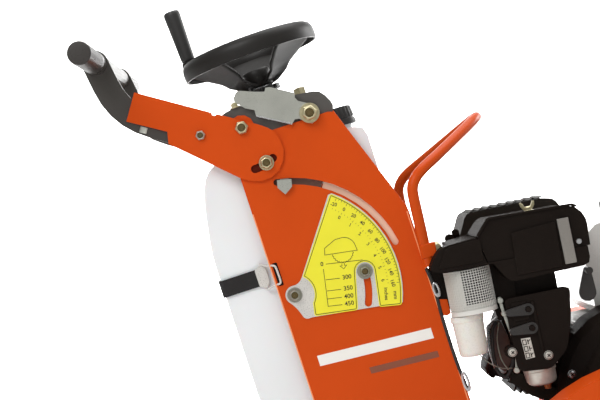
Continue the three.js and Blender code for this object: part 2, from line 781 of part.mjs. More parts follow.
function liftBail() {
  const leg = [
    [180, -140, 606],
    [168, -140, 655],
    [157.5, -140, 703],
    [160, -137, 729],
    [182, -122, 753],
    [232, -62, 797],
    [256, -26, 818],
    [261, 0, 822],
  ];
  const other = leg.slice(0, -1).reverse().map(([x, y, z]) => [x, -y, z]);
  const hoop = rod([...leg, ...other], BAIL_RADIUS, 4, 34);
  const lugs = SIDES.map(([, s]) =>
    plate(
      outline([
        [BAIL_LUG.x - 24, BAIL_LUG.z - 12, 5],
        [BAIL_LUG.x + 3, BAIL_LUG.z - 22, 4],
        [BAIL_LUG.x + 1, BAIL_LUG.z + 12, 4],
        [BAIL_LUG.x - 22, BAIL_LUG.z + 16, 5],
      ]),
      ...range(s, CONSOLE_OUTER + GAP, 142),
    ),
  );
  return join(hoop, ...lugs);
}

// ---------------------------------------------------------------- engine

function crankcase() {
  const base = box(382, 578, -66, 100, DECK_TOP + GAP, DECK_TOP + 14);
  const block = plate(
    outline([
      [400, 128],
      [560, 128, 12],
      [572, 250, 40],
      [548, 340, 30],
      [430, 345, 20],
      [392, 300, 20],
      [392, 180, 20],
    ]),
    -68,
    92,
  );
  const barrel = box(-98, -40, -56, 60, -56, 56).rotateY(rad(CYLINDER_TILT));
  const shaftHousing = pin(CRANK, 46, 80, 108, 20);
  const shaft = pin(CRANK, CRANK.radius, 100, 230, 20);
  const neck = box(430, 520, -30, 70, 330, 349.6);
  return join(base, block, barrel.translate(CRANK.x, 0, CRANK.z), shaftHousing, shaft, neck);
}

// Finned cylinder and rocker cover, along -x of the tilted cylinder frame.
function cylinderHead() {
  const core = box(-168, -98.5, -50, 54, -48, 48);
  const fins = Array.from({ length: 7 }, (_, i) => {
    const x = -158 + i * 9;
    return box(x, x + 3, -60, 64, -58, 58);
  });
  const cover = box(-192, -165, -42, 46, -44, 44);
  return join(core, ...fins, cover);
}

const fanCover = () =>
  turned([
    [0, -138],
    [70, -138],
    [104, -132],
    [114, -118],
    [116, -72],
    [0, -72],
  ], 26).translate(CRANK.x, 0, CRANK.z);

function recoilStarter() {
  const drum = turned([
    [0, -172],
    [52, -172],
    [72, -166],
    [80, -154],
    [82, -138 - GAP],
    [0, -138 - GAP],
  ], 24).translate(CRANK.x, 0, CRANK.z);
  const handle = box(520, 556, -166, -150, 322, 342);
  const stem = box(520, 532, -162, -146, 300, 325);
  const slots = Array.from({ length: 8 }, (_, i) => {
    const [x, z] = polar(62, i * 45, CRANK.x, CRANK.z);
    return pin({ x, z }, 6, -175, -164, 6);
  });
  return cut(join(drum, handle, stem), ...slots);
}

function fuelTank() {
  const body = plate(
    outline([
      [446, 350, 16],
      [608, 350, 24],
      [616, 440, 24],
      [590, 478, 18],
      [468, 484, 16],
      [444, 458, 14],
    ]),
    -66,
    128,
  );
  return join(body, post(FILLER.x, FILLER.y, 470, 494, FILLER.radius, FILLER.radius, 18));
}

function fuelCap() {
  const cap = post(FILLER.x, FILLER.y, 484 + GAP, 508, FILLER.radius + 8, FILLER.radius + 6, 20);
  const mouth = FILLER.radius + 0.5;
  return cut(cap, post(FILLER.x, FILLER.y, 483, 494 + GAP, mouth, mouth, 18));
}

// Air cleaner: a tray with a duct to the carburettor, and a deep cover above the seam.
function airCleanerBase() {
  const tray = plate(
    outline([
      [213, 470, 6],
      [226, 490, 6],
      [238, 499, 6],
      [284, 502.7],
      [292, 466],
      [430, 462],
      [430, 437, 10],
      [318, 434, 8],
      [300, 463.4],
      [232, 463.4, 6],
    ]),
    -186,
    -62,
  );
  const duct = box(326, 386, -143, -92, 398, 440);
  const bailRelief = box(200, 248, -151, -60, 450, 510);
  return cut(join(tray, duct), bailRelief);
}

const airCleanerCover = () =>
  plate(
    outline([
      [285.6, 503, 3],
      [304, 523.7, 8],
      [424, 520, 12],
      [436, 500, 8],
      [434, 462.3],
      [293.4, 466.3],
    ]),
    -184,
    -64,
  );

const precleanerScreen = () => {
  const drum = post(SCREEN.x, SCREEN.y, 400, 463.4 - GAP, SCREEN.radius, SCREEN.radius, 32);
  return cut(drum, post(CUP.x, CUP.y, 399, 404.6, 17.6, 17.6, 18));
};

const dustCup = () => {
  const cup = post(CUP.x, CUP.y, 340, 399.7, CUP.radius - 3, CUP.radius, 20);
  return join(cup, post(CUP.x, CUP.y, 399, 404, 17.2, 17.2, 18));
};

function carburettor() {
  const body = box(318, 366, -140, -96, 308, 397.6);
  const bowl = post(338, -120, 286, 309, 17, 20, 18);
  const drain = post(344, -120, 279, 288, 5, 5, 6);
  return join(body, bowl, drain);
}

// A cover panel over the linkage, with the two lever pivots standing from it.
function controlCover() {
  const front = plate(
    outline([
      [307, 411, 6],
      [307, 310, 8],
      [352, 306, 6],
      [378, 328, 8],
      [392, 370, 8],
      [398, 411, 6],
    ]),
    -168,
    -145,
  );
  const pivots = LEVERS.map(({ x, z }) => pin({ x, z }, 4, -177, -160, 14));
  return join(front, ...pivots);
}

function smallLever({ x, z, turn }) {
  const arm = plate(capsule([0, 0], 8, polar(26, turn), 5), -173, -168.4);
  const hole = pin({ x: 0, z: 0 }, 4 + CLEAR, -180, -160, 16);
  return cut(arm, hole).translate(x, 0, z);
}

function throttleLever() {
  const [tx, tz] = polar(THROTTLE.reach, THROTTLE.lean);
  const arm = plate(capsule([0, 0], 12, [tx, tz], 5), -150, -146);
  const stem = pin({ x: 0, z: 0 }, 5, -149, -136, 16);
  const tip = pin({ x: tx, z: tz }, 5, -166, -148, 12);
  return join(arm, stem, tip).translate(THROTTLE.x, 0, THROTTLE.z);
}

// Muffler can inside a louvred guard, with the outlet at its rear.
function muffler() {
  const can = plate(
    outline([
      [283, 420, 12],
      [283, 498],
      [299, 531, 8],
      [414, 531, 6],
      [432, 527, 6],
      [439, 514],
      [439, 420, 12],
    ]),
    14,
    124,
  );
  const louvres = Array.from({ length: 8 }, (_, i) => box(
    312 + i * 13,
    318 + i * 13,
    22,
    116,
    526,
    534,
  ));
  const outlet = pin({ x: 400, z: 470 }, 14, 118, 140, 20);
  const port = box(306, 356, 40, 100, 392, 424);
  return cut(join(can, outlet, port), ...louvres, pin({ x: 400, z: 470 }, 11, 126, 142, 20));
}

// ---------------------------------------------------------------- blade and drive

function bearing(s) {
  const foot = box(416, 496, ...range(s, 96, 126), 84, DECK_TOP - DECK_THICKNESS - GAP);
  const housing = pin(SHAFT, 31, ...range(s, 96, 126), 20);
  const bore = pin(SHAFT, SHAFT.radius + CLEAR, ...range(s, 90, 130), 18);
  return cut(join(foot, housing), bore);
}

// The shaft carries a fixed inner flange for the blade and a threaded nose beyond it.
function bladeShaft() {
  const face = BLADE_Y + 1.6 + GAP;
  return turned([
    [0, -250],
    [10, -250],
    [12, -247],
    [12, face],
    [50, face],
    [50, face + 7],
    [SHAFT.radius, face + 12],
    [SHAFT.radius, 244],
    [12, 246],
    [0, 246],
  ], 18).translate(SHAFT.x, 0, SHAFT.z);
}

function bladeFlange() {
  const face = BLADE_Y - 1.6 - GAP;
  return turned([
    [12 + GAP, face - 14],
    [22, face - 14],
    [24, face - 7],
    [50, face - 5],
    [50, face],
    [12 + GAP, face],
    [12 + GAP, face - 14],
  ], 18).translate(SHAFT.x, 0, SHAFT.z);
}

// A laser-welded segment blade: the rim is gulleted between segments.
function sawBlade() {
  const core = pin(SHAFT, BLADE_RADIUS, BLADE_Y - 1.6, BLADE_Y + 1.6, 36);
  const bore = pin(SHAFT, 12 + GAP, BLADE_Y - 3, BLADE_Y + 3, 18);
  const gullets = Array.from({ length: 18 }, (_, i) => {
    const slit = box(206, 230, BLADE_Y - 3, BLADE_Y + 3, -1.8, 1.8);
    return slit.rotateY(rad(i * 20)).translate(SHAFT.x, 0, SHAFT.z);
  });
  return cut(core, bore, ...gullets);
}

function pulley(centre, radius, hub, bore) {
  const [low, high] = [BELT_MIDDLE - 18, BELT_MIDDLE + 18];
  return turned([
    [bore, low],
    [radius + 4, low],
    [radius + 4, low + 3],
    [radius - 8, low + 8],
    [radius - 8, high - 8],
    [radius + 4, high - 3],
    [radius + 4, high],
    [hub, high],
    [hub, high - 10],
    [bore, high - 10],
    [bore, low],
  ], 20).translate(centre.x, 0, centre.z);
}

// The loop round both pulleys, resting on the grooves' shoulders.
function driveBelt() {
  const low = [SHAFT.x, SHAFT.z];
  const high = [CRANK.x, CRANK.z];
  const loop = (grow) => capsule(low, BLADE_PULLEY + grow, high, ENGINE_PULLEY + grow, 14);
  const [y1, y2] = [BELT_MIDDLE - 9.5, BELT_MIDDLE + 9.5];
  return cut(plate(loop(2), y1, y2), plate(loop(-6.6), y1 - 1, y2 + 1));
}

function beltGuard() {
  const low = [SHAFT.x, SHAFT.z];
  const high = [CRANK.x, CRANK.z];
  const outer = plate(capsule(low, 96, high, 82, 10), 195, 252);
  const inner = plate(capsule(low, 93, high, 79, 10), 190, 249);
  const bracket = box(538, 552, SIDE_OUTER + GAP, 204, 72, 100);
  return join(cut(outer, inner), bracket);
}

// One half of the blade guard: a rim band between two side cheeks, from one angle to another.
function guardShell(from, to, cheek) {
  const sector = (radius, inner) => {
    const shape = new THREE.Shape();
    shape.absarc(SHAFT.x, SHAFT.z, radius, rad(from), rad(to), false);
    shape.absarc(SHAFT.x, SHAFT.z, inner, rad(to), rad(from), true);
    return new THREE.Shape(shape.getPoints(8));
  };
  const rim = plate(sector(GUARD_RADIUS, GUARD_RADIUS - 3), -GUARD_OUTER, -GUARD_INNER);
  const outside = plate(sector(GUARD_RADIUS, cheek), -GUARD_OUTER, -GUARD_OUTER + 2.5);
  const inside = plate(sector(GUARD_RADIUS, 124), -GUARD_INNER - 2.5, -GUARD_INNER);
  return join(rim, outside, inside);
}

function guardRear() {
  const shell = guardShell(93, 205, 40);
  const hanger = box(430, 458, -GUARD_INNER - 2.5, -GUARD_INNER, 92, 186);
  const shelf = box(430, 458, -GUARD_INNER - 1, -SIDE_OUTER - GAP, 92, 100);
  const lug = plate(capsule([444, 292], 6, [GUARD_HINGE.x, GUARD_HINGE.z], 8), -238, -226);
  const hinge = pin(GUARD_HINGE, 4, -256, -208, 14);
  return join(shell, hanger, shelf, lug, hinge);
}

function guardFront() {
  const shell = guardShell(-12, 87, 40);
  const lugs = [-256, -220].map((y) =>
    plate(capsule([470, 291], 6, [GUARD_HINGE.x, GUARD_HINGE.z], 8), y, y + 12),
  );
  return cut(join(shell, ...lugs), pin(GUARD_HINGE, 4 + CLEAR, -260, -204, 16));
}

// ---------------------------------------------------------------- guide arm and hose

// Hinge rod between the nose lugs, an upright bar and the guide wheel's axle at its end.
function guideArm() {
  const hinge = pin({ x: 0, z: 0 }, 9, -168, -42, 18);
  const bar = box(-11, 11, -168, -158, -4, GUIDE_LENGTH + 12);
  const axle = pin({ x: 0, z: GUIDE_LENGTH }, 6, -240, -160, 16);
  return join(hinge, bar, axle).translate(GUIDE_PIVOT.x, 0, GUIDE_PIVOT.z);
}

const guideWheel = () => {
  const wheel = wheelDisc(40, 10, 14, 6 + CLEAR, 18).translate(0, BLADE_Y, 0);
  return wheel.translate(GUIDE_PIVOT.x, 0, GUIDE_PIVOT.z + GUIDE_LENGTH);
};

// From the tank's foot, along the deck, to the inner cheek of the blade guard.
const waterHose = () =>
  rod(
    [
      [92, -90, 148],
      [120, -92, 140],
      [170, -94, 131],
      [300, -94, 129],
      [360, -98, 130],
      [392, -118, 136],
      [400, -150, 156],
      [401, -178, 184],
      [401, -192, 190],
      [401, -200.8, 190],
    ],
    6,
    3,
    30,
  );

// ---------------------------------------------------------------- assembly

add(chassis, "chassis_frame", "orange", chassisFrame());
add(chassis, "rear_axle", "steel", pin({ x: 0, z: 0 }, AXLE_RADIUS, -213, 213, 18));
wheels();
add(axleFrame, "front_axle_frame", "orange", frontAxleFrame());
add(spindleFrame, "spindle_nut", "steel", spindleNut());
add(rodFrame, "indicator_rod", "zinc", indicatorRod());
add(consoleFrame, "pointer_arm", "zinc", pointerArm());
add(spindleFrame, "depth_spindle", "steel", spindle());
add(spindleFrame, "handwheel", "black", handwheel());
add(spindleFrame, "crank_knob", "black", crankKnob());
for (const [name, s] of SIDES) add(consoleFrame, `console_side_${name}`, "orange", consoleSide(s));
add(consoleFrame, "console_panel", "orange", consolePanel());
add(consoleFrame, "top_bracket", "darkGrey", topBracket());
const leverFrame = frame(consoleFrame, LEVER_PIVOT, -CHASSIS_PITCH - CONSOLE_LEAN);
add(leverFrame, "lock_lever", "zinc", lockLever());
add(consoleFrame, "scale_plate", "zinc", scalePlate());
add(consoleFrame, "water_tank", "milky", waterTank());
add(consoleFrame, "tank_cap", "black", tankCap());
add(consoleFrame, "tank_strap", "black", tankStrap());
for (const [name, s] of SIDES) {
  add(handleFrame, `handle_bracket_${name}`, "orange", handleBracket(s));
  add(handleFrame, `grip_${name}`, "black", grip(s));
}
add(handleFrame, "handle_frame", "black", handleBar());
add(saw, "lift_bail", "orange", liftBail());
add(chassis, "crankcase", "aluminium", crankcase());
add(cylinderFrame, "cylinder_head", "aluminium", cylinderHead());
add(chassis, "fan_cover", "black", fanCover());
add(chassis, "recoil_starter", "black", recoilStarter());
add(chassis, "fuel_tank", "fuelTank", fuelTank());
add(chassis, "fuel_cap", "black", fuelCap());
add(chassis, "air_cleaner_base", "black", airCleanerBase());
add(chassis, "air_cleaner_cover", "black", airCleanerCover());
add(chassis, "precleaner_screen", "smoky", precleanerScreen());
add(chassis, "dust_cup", "milky", dustCup());
add(chassis, "carburettor", "aluminium", carburettor());
add(chassis, "control_cover", "black", controlCover());
for (const lever of LEVERS) add(chassis, lever.name, "leverGrey", smallLever(lever));
add(chassis, "throttle_lever", "leverGrey", throttleLever());
add(chassis, "muffler", "black", muffler());
const enginePulley = pulley(CRANK, ENGINE_PULLEY, 28, CRANK.radius + CLEAR);
const bladePulley = pulley(SHAFT, BLADE_PULLEY, 30, SHAFT.radius + GAP);
add(chassis, "engine_pulley", "steel", enginePulley);
add(chassis, "blade_pulley", "steel", bladePulley);
add(chassis, "drive_belt", "rubber", driveBelt());
add(chassis, "belt_guard", "orange", beltGuard());
for (const [name, s] of SIDES) add(chassis, `bearing_${name}`, "steel", bearing(s));
add(chassis, "blade_shaft", "steel", bladeShaft());
add(chassis, "blade_flange", "steel", bladeFlange());
add(chassis, "saw_blade", "steel", sawBlade());
add(chassis, "blade_guard_rear", "orange", guardRear());
add(chassis, "blade_guard_front", "orange", guardFront());
add(chassis, "guide_arm", "black", guideArm());
add(chassis, "guide_wheel", "rubber", guideWheel());
add(chassis, "water_hose", "rubber", waterHose());

// Stand the machine on the ground, over the middle of its own footprint.
const extent = new THREE.Box3().setFromObject(saw, true);
const centre = extent.getCenter(new THREE.Vector3());
saw.position.set(-centre.x, -centre.y, -extent.min.z);

export default saw;
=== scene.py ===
"""Walk-behind concrete saw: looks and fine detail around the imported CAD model."""

import json
import math

import bmesh
import bpy
from mathutils import Matrix, Vector


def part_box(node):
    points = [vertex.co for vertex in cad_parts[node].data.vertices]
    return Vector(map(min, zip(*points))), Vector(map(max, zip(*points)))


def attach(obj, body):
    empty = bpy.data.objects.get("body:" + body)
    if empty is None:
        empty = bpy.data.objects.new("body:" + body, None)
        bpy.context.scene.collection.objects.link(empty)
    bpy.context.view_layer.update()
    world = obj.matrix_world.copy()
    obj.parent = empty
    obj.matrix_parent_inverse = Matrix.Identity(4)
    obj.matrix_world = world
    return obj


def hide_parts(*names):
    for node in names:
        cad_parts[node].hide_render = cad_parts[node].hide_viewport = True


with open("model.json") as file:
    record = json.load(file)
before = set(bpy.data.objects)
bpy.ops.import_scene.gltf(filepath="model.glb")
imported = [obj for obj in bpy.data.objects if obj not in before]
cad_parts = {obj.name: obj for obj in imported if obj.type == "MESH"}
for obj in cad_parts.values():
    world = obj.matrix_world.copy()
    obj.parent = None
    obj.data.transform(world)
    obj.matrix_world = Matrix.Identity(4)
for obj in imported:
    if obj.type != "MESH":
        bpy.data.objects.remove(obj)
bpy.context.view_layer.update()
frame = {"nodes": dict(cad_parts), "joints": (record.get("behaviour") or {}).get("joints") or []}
nodes = frame["nodes"]
joints = {joint["name"]: joint for joint in frame["joints"]}

MM = 0.001
SIDES = (("right", -1), ("left", 1))

# Leans of the object's frames, in degrees nose-up from level.
CHASSIS_PITCH = 11.5
CONSOLE_LEAN = 18.2
SPINDLE_LEAN = 20.0
HANDLE_LEAN = -15.0

# Places inside those frames, in millimetres.
SCALE_PIVOT = Vector((21.3, 0, 352))
WHEEL_HEIGHT = 50
WALL = 135  # outer face of the console walls
BRACKET_FACE = 139.3  # outer face of the handle brackets
PLATE_FACE = 137.2  # outer face of the depth scale's plate
TRACK_RADIUS = 158  # middle of the pointer's slot, round the scale's pivot
SCALE_BOLT = (102.5, 0.6)  # radius and angle of the scale's clamp bolt
KNOB_X = -88  # the crank knob's axis on the handwheel
ENGINE_X, ENGINE_Z = 475, 254  # the crankshaft
SCREEN_X, SCREEN_Y = 266, -150  # the pre-cleaner's axis
BOWL_Y = -142  # the float bowl's axis

# Radii on the depth scale's label, and its slope.
LABEL_RADIUS = 148.4
MM_RADIUS = 145.8
INCH_RADIUS = 131
LABEL_SLOPE = -14

# Radii of the blade's steel core and of its gullets.
CORE_RADIUS = 216.5
GULLET_RADIUS = 198


# ---- places


class Place:
    """A frame turned about Y, in millimetres: x runs forward, z is square to it."""

    def __init__(self, origin, lean):
        turn = Matrix.Rotation(math.radians(-lean), 4, "Y")
        self.matrix = Matrix.Translation(origin) @ turn

    def at(self, x, y, z):
        return self.matrix @ (Vector((x, y, z)) * MM)

    def inside(self, x, y, z, matrix=None):
        """A frame whose origin is at a point of this one, with an extra turn."""
        child = Place((0, 0, 0), 0)
        child.matrix = self.matrix @ Matrix.Translation(Vector((x, y, z)) * MM)
        if matrix:
            child.matrix = child.matrix @ matrix
        return child


def joint_point(name):
    """A joint's axis where it meets the middle plane."""
    x, _, z = joints[name]["pos_m"]
    return Vector((x, 0, z))


def node_middle(name):
    low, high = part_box(name)
    return (low + high) / 2


def place_through(point, local, lean):
    """The frame with that lean in which the world point has the local coordinates."""
    turned = Place((0, 0, 0), lean).at(*local)
    return Place(point - turned, lean)


CHASSIS = Place(node_middle("rear_axle"), CHASSIS_PITCH)
CONSOLE = place_through(joint_point("pointer_swing"), SCALE_PIVOT, CONSOLE_LEAN)
SCALE = CONSOLE.inside(*SCALE_PIVOT)
HANDLE = Place(joint_point("handle_height"), HANDLE_LEAN)
LEVER = Place(joint_point("lock_lever_lift"), 0)
SPINDLE = place_through(joint_point("handwheel_turn"), (0, 0, WHEEL_HEIGHT), SPINDLE_LEAN)


# ---- materials


def linear(red, green, blue):
    """An 8-bit display colour as linear values."""
    parts = [c / 255 for c in (red, green, blue)]
    return [c / 12.92 if c <= 0.04045 else ((c + 0.055) / 1.055) ** 2.4 for c in parts]


def shader(name):
    material = bpy.data.materials.new(name)
    material.use_nodes = True
    tree = material.node_tree
    return material, tree, tree.nodes["Principled BSDF"]


NOISE_SPAN = (0.3, 0.7)  # where nearly all of a noise texture's values lie


def noise(tree, scale, detail=4.0, stretch=None):
    """A noise texture in the piece's own coordinates, in metres."""
    where = tree.nodes.new("ShaderNodeTexCoord")
    grain = tree.nodes.new("ShaderNodeTexNoise")
    grain.inputs["Scale"].default_value = scale
    grain.inputs["Detail"].default_value = detail
    source = where.outputs["Object"]
    if stretch:
        mapping = tree.nodes.new("ShaderNodeMapping")
        mapping.inputs["Scale"].default_value = stretch
        tree.links.new(source, mapping.inputs["Vector"])
        source = mapping.outputs["Vector"]
    tree.links.new(source, grain.inputs["Vector"])
    return grain.outputs["Fac"]


def ramp(tree, factor, low, high):
    node = tree.nodes.new("ShaderNodeValToRGB")
    stops = zip(node.color_ramp.elements, NOISE_SPAN, (low, high))
    for stop, position, colour in stops:
        stop.position = position
        stop.color = (*colour, 1)
    tree.links.new(factor, node.inputs["Fac"])
    return node.outputs["Color"]


def spread(tree, factor, low, high):
    node = tree.nodes.new("ShaderNodeMapRange")
    ends = zip(("From Min", "From Max", "To Min", "To Max"), (*NOISE_SPAN, low, high))
    for name, value in ends:
        node.inputs[name].default_value = value
    tree.links.new(factor, node.inputs["Value"])
    return node.outputs["Result"]


MATERIALS = {}
SLOTS = {}


def surface(name, slot, colour, rough, metal=0, vary=0.06, patch=9,
            grain=900, relief=0.06, stretch=None, rough_vary=0.08, **sockets):
    """A look with mottled colour, uneven gloss and a fine relief, and its material slot."""
    material, tree, bsdf = shader(name)
    base = linear(*colour)
    mottle = noise(tree, patch)
    low = [c * (1 - vary) for c in base]
    high = [min(1.0, c * (1 + vary)) for c in base]
    tree.links.new(ramp(tree, mottle, low, high), bsdf.inputs["Base Color"])
    fine = noise(tree, grain, 2.0, stretch)
    gloss = spread(tree, fine, rough - rough_vary, rough + rough_vary)
    tree.links.new(gloss, bsdf.inputs["Roughness"])
    bump = tree.nodes.new("ShaderNodeBump")
    bump.inputs["Strength"].default_value = relief
    bump.inputs["Distance"].default_value = 0.001
    tree.links.new(fine, bump.inputs["Height"])
    tree.links.new(bump.outputs["Normal"], bsdf.inputs["Normal"])
    bsdf.inputs["Metallic"].default_value = metal
    for socket, value in sockets.items():
        bsdf.inputs[socket.replace("_", " ")].default_value = value
    MATERIALS[name], SLOTS[name] = material, slot


BRUSHED = (1, 1, 14)
surface("orange", "orange_paint", (204, 73, 13), 0.42, vary=0.025, relief=0.05, rough_vary=0.05,
        Specular_IOR_Level=0.12)
# A lighter copy of the orange paint: painted highlight for the thin beads along the console's fold
# and rear edges.
surface("orange_painted_highlight", "orange_paint", (250, 160, 106), 0.3, vary=0.03, Specular_IOR_Level=0.5)
surface("dark_grey", "dark_grey_paint", (77, 74, 70), 0.5, vary=0.05)
surface("black_coat", "black_paint", (40, 36, 32), 0.5, vary=0.08, relief=0.04,
        Specular_IOR_Level=0.0, Coat_Weight=0.1, Coat_Roughness=0.2)
surface("black_plastic", "black_plastic", (34, 33, 32), 0.44, vary=0.08, grain=1400, relief=0.08)
surface("black_gloss", "black_plastic", (52, 48, 45), 0.34, grain=700, relief=0.03)
surface("engine_black", "black_plastic", (30, 25, 22), 0.5, vary=0.12, grain=800, relief=0.02,
        Specular_IOR_Level=0.0, Coat_Weight=0.07, Coat_Roughness=0.16)
# A light grey copy of the engine plastic: painted reflection on the side of the air cleaner lid.
surface("engine_painted_reflection", "black_plastic", (128, 124, 118), 0.3, vary=0.1, grain=800, relief=0.02)
surface("frame_coat", "dark_grey_paint", (60, 56, 52), 0.4, relief=0.04)
surface("bail_orange", "orange_paint", (198, 72, 14), 0.3, vary=0.03, relief=0.03,
        Specular_IOR_Level=0.14)
surface("plate_zinc", "zinc_plate", (212, 209, 203), 0.32, metal=0.3, patch=60, grain=700,
        relief=0.04)
surface("wheel_black", "black_plastic", (33, 31, 29), 0.42, grain=1200, Specular_IOR_Level=0.25)
surface("slot_shadow", "dark_grey_paint", (84, 24, 8), 0.7, vary=0.1, grain=600,
        Specular_IOR_Level=0.1)
surface("brown_shade", "black_plastic", (74, 46, 36), 0.4, vary=0.2, patch=60, grain=600)
surface("bolt_end", "zinc_plate", (92, 78, 44), 0.5, metal=0.5, vary=0.35, patch=700, grain=1500,
        relief=0.4)
surface("dull_zinc", "zinc_plate", (150, 149, 138), 0.4, metal=0.75, vary=0.12, patch=150,
        grain=700)
surface("pale_zinc", "zinc_plate", (206, 203, 194), 0.4, metal=0.5, vary=0.08, patch=200,
        grain=700)
surface("rubber", "black_rubber", (40, 38, 37), 0.72, vary=0.12, grain=600, relief=0.2)
surface("webbing", "black_rubber", (30, 27, 27), 0.85, vary=0.2, grain=1800, relief=0.5,
        stretch=(1, 1, 4))
surface("zinc", "zinc_plate", (186, 187, 178), 0.34, metal=0.85, patch=30, grain=260, relief=0.04,
        stretch=(1, 1, 10))
surface("yellow_zinc", "zinc_plate", (196, 187, 152), 0.34, metal=0.9, vary=0.16, patch=120,
        grain=600)
surface("steel", "bright_steel", (190, 191, 192), 0.26, metal=0.95, patch=40, grain=300,
        stretch=BRUSHED)
surface("blade", "bright_steel", (168, 170, 173), 0.3, metal=0.95, vary=0.08, patch=12, grain=500)
surface("segment", "bright_steel", (122, 116, 104), 0.7, metal=0.5, vary=0.25, patch=600,
        grain=1800, relief=0.6)
surface("aluminium", "cast_aluminium", (176, 176, 174), 0.5, metal=0.75, vary=0.1, patch=60,
        relief=0.35)
surface("wheel_grey", "wheel_grey", (132, 135, 138), 0.45, grain=700)
surface("lever_grey", "lever_grey", (38, 35, 33), 0.35)
surface("fuel_tank", "grey_plastic", (206, 205, 200), 0.25, vary=0.02, grain=700)
surface("milky", "milky_plastic", (233, 235, 236), 0.5, vary=0.02, patch=5, grain=300, relief=0.05,
        Subsurface_Weight=0.12, Subsurface_Scale=0.01, Specular_IOR_Level=0.3)
surface("milky_cup", "milky_plastic", (226, 224, 216), 0.3, vary=0.03, grain=500,
        Subsurface_Weight=0.3, Subsurface_Scale=0.01)
surface("screen", "smoky_plastic", (214, 213, 207), 0.35, vary=0.04, grain=500)
surface("screen_dark", "smoky_plastic", (32, 29, 27), 0.6, vary=0.15, grain=500)
surface("yellow", "zinc_plate", (236, 228, 44), 0.4, vary=0.02, patch=40, relief=0.02)
surface("print", "black_plastic", (30, 30, 14), 0.5, vary=0.05, relief=0.02)
surface("white_print", "milky_plastic", (240, 238, 232), 0.4, vary=0.02, relief=0.02)
surface("grey_print", "lever_grey", (132, 70, 44), 0.4, vary=0.04, relief=0.02)
# These two are lit and shaded copies of the view through the pointer's slot: the first painted
# light, the second painted shade.
surface("slot_painted_light", "milky_plastic", (252, 216, 188), 0.5, vary=0.04, grain=600)
surface("slot_painted_shade", "dark_grey_paint", (112, 84, 70), 0.6, vary=0.1, grain=600)
surface("copper", "bright_steel", (188, 128, 84), 0.35, metal=0.85, vary=0.15, patch=150,
        grain=600)


# ---- mesh helpers


def add_object(name, data):
    obj = bpy.data.objects.new(name, data)
    bpy.context.scene.collection.objects.link(obj)
    return obj


def finish_shading(obj, look, bevel=0.0, angle=35, segments=2):
    obj.data.materials.clear()
    obj.data.materials.append(MATERIALS[look])
    obj.data.shade_smooth()
    obj.data.set_sharp_from_angle(angle=math.radians(angle))
    if bevel:
        edge = obj.modifiers.new("edges", "BEVEL")
        edge.width = bevel * MM
        edge.segments = segments
        edge.limit_method = "ANGLE"
        edge.angle_limit = math.radians(angle)
        edge.harden_normals = True


def piece(name, bm, place, look, body="body", bevel=0.0, angle=35, replaces=()):
    """Turns millimetre geometry in a frame into a piece that rides on a body."""
    bmesh.ops.remove_doubles(bm, verts=bm.verts, dist=1e-4)
    bmesh.ops.recalc_face_normals(bm, faces=bm.faces)
    mesh = bpy.data.meshes.new(name)
    bm.to_mesh(mesh)
    bm.free()
    mesh.transform(place.matrix @ Matrix.Scale(MM, 4))
    obj = add_object(name, mesh)
    finish_shading(obj, look, bevel, angle)
    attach(obj, body)
    if replaces:
        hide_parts(*replaces)


def made(shape, *args, **options):
    """A new bmesh that holds one shape."""
    bm = bmesh.new()
    shape(bm, *args, **options)
    return bm


def loft(bm, rings, closed=False):
    """Skins a list of equal rings of points and caps the ends, or joins them."""
    loops = [[bm.verts.new(p) for p in ring] for ring in rings]
    count = len(loops[0])
    pairs = list(zip(loops, loops[1:]))
    if closed:
        pairs.append((loops[-1], loops[0]))
    for first, second in pairs:
        for i in range(count):
            j = (i + 1) % count
            bm.faces.new((first[i], first[j], second[j], second[i]))
    if not closed:
        bm.faces.new(loops[0])
        bm.faces.new(list(reversed(loops[-1])))


def revolve(bm, profile, centre=(0, 0, 0), axis="Y", sides=48, closed=False, flute=None):
    """Turns (radius, height) points about an axis; flute(side, height) scales a radius."""
    rings = []
    for radius, height in profile:
        ring = []
        for i in range(sides):
            a = 2 * math.pi * i / sides
            r = max(radius, 1e-3) * (flute(i, height) if flute else 1)
            across, other = r * math.cos(a), r * math.sin(a)
            spot = {"Y": (across, height, other), "Z": (across, other, height),
                    "X": (height, across, other)}[axis]
            ring.append(Vector(centre) + Vector(spot))
        rings.append(ring)
    loft(bm, rings, closed=closed)


def rect(x1, x2, z1, z2):
    return [(x1, z1), (x2, z1), (x2, z2), (x1, z2)]


def boss(narrow, wide, tip, step, root):
    """The profile of a short cylinder with a chamfered tip."""
    return [(0, tip), (narrow, tip), (wide, step), (wide, root), (0, root)]


def slab(bm, outline, low, high):
    """A plate from an (x, z) outline, between two y values."""
    loft(bm, [[(x, y, z) for x, z in outline] for y in (low, high)])


def block(bm, x1, x2, y1, y2, z1, z2):
    slab(bm, rect(x1, x2, z1, z2), y1, y2)


def sweep(bm, points, section, closed=False, up=Vector((0, 1, 0))):
    """Carries an (a, b) section along points; a lies across and b along the carried up."""
    points = [Vector(p) for p in points]
    rings = []
    for i, point in enumerate(points):
        before = points[i - 1] if i or closed else point
        after = points[(i + 1) % len(points)] if i + 1 < len(points) or closed else point
        tangent = (after - before).normalized()
        across = up.cross(tangent)
        across = across.normalized() if across.length > 1e-4 else Vector((1, 0, 0))
        lift = tangent.cross(across)
        rings.append([point + across * a + lift * b for a, b in section])
    loft(bm, rings, closed=closed)


def circle(radius, sides):
    return [(radius * math.cos(a), radius * math.sin(a))
            for a in (2 * math.pi * i / sides for i in range(sides))]


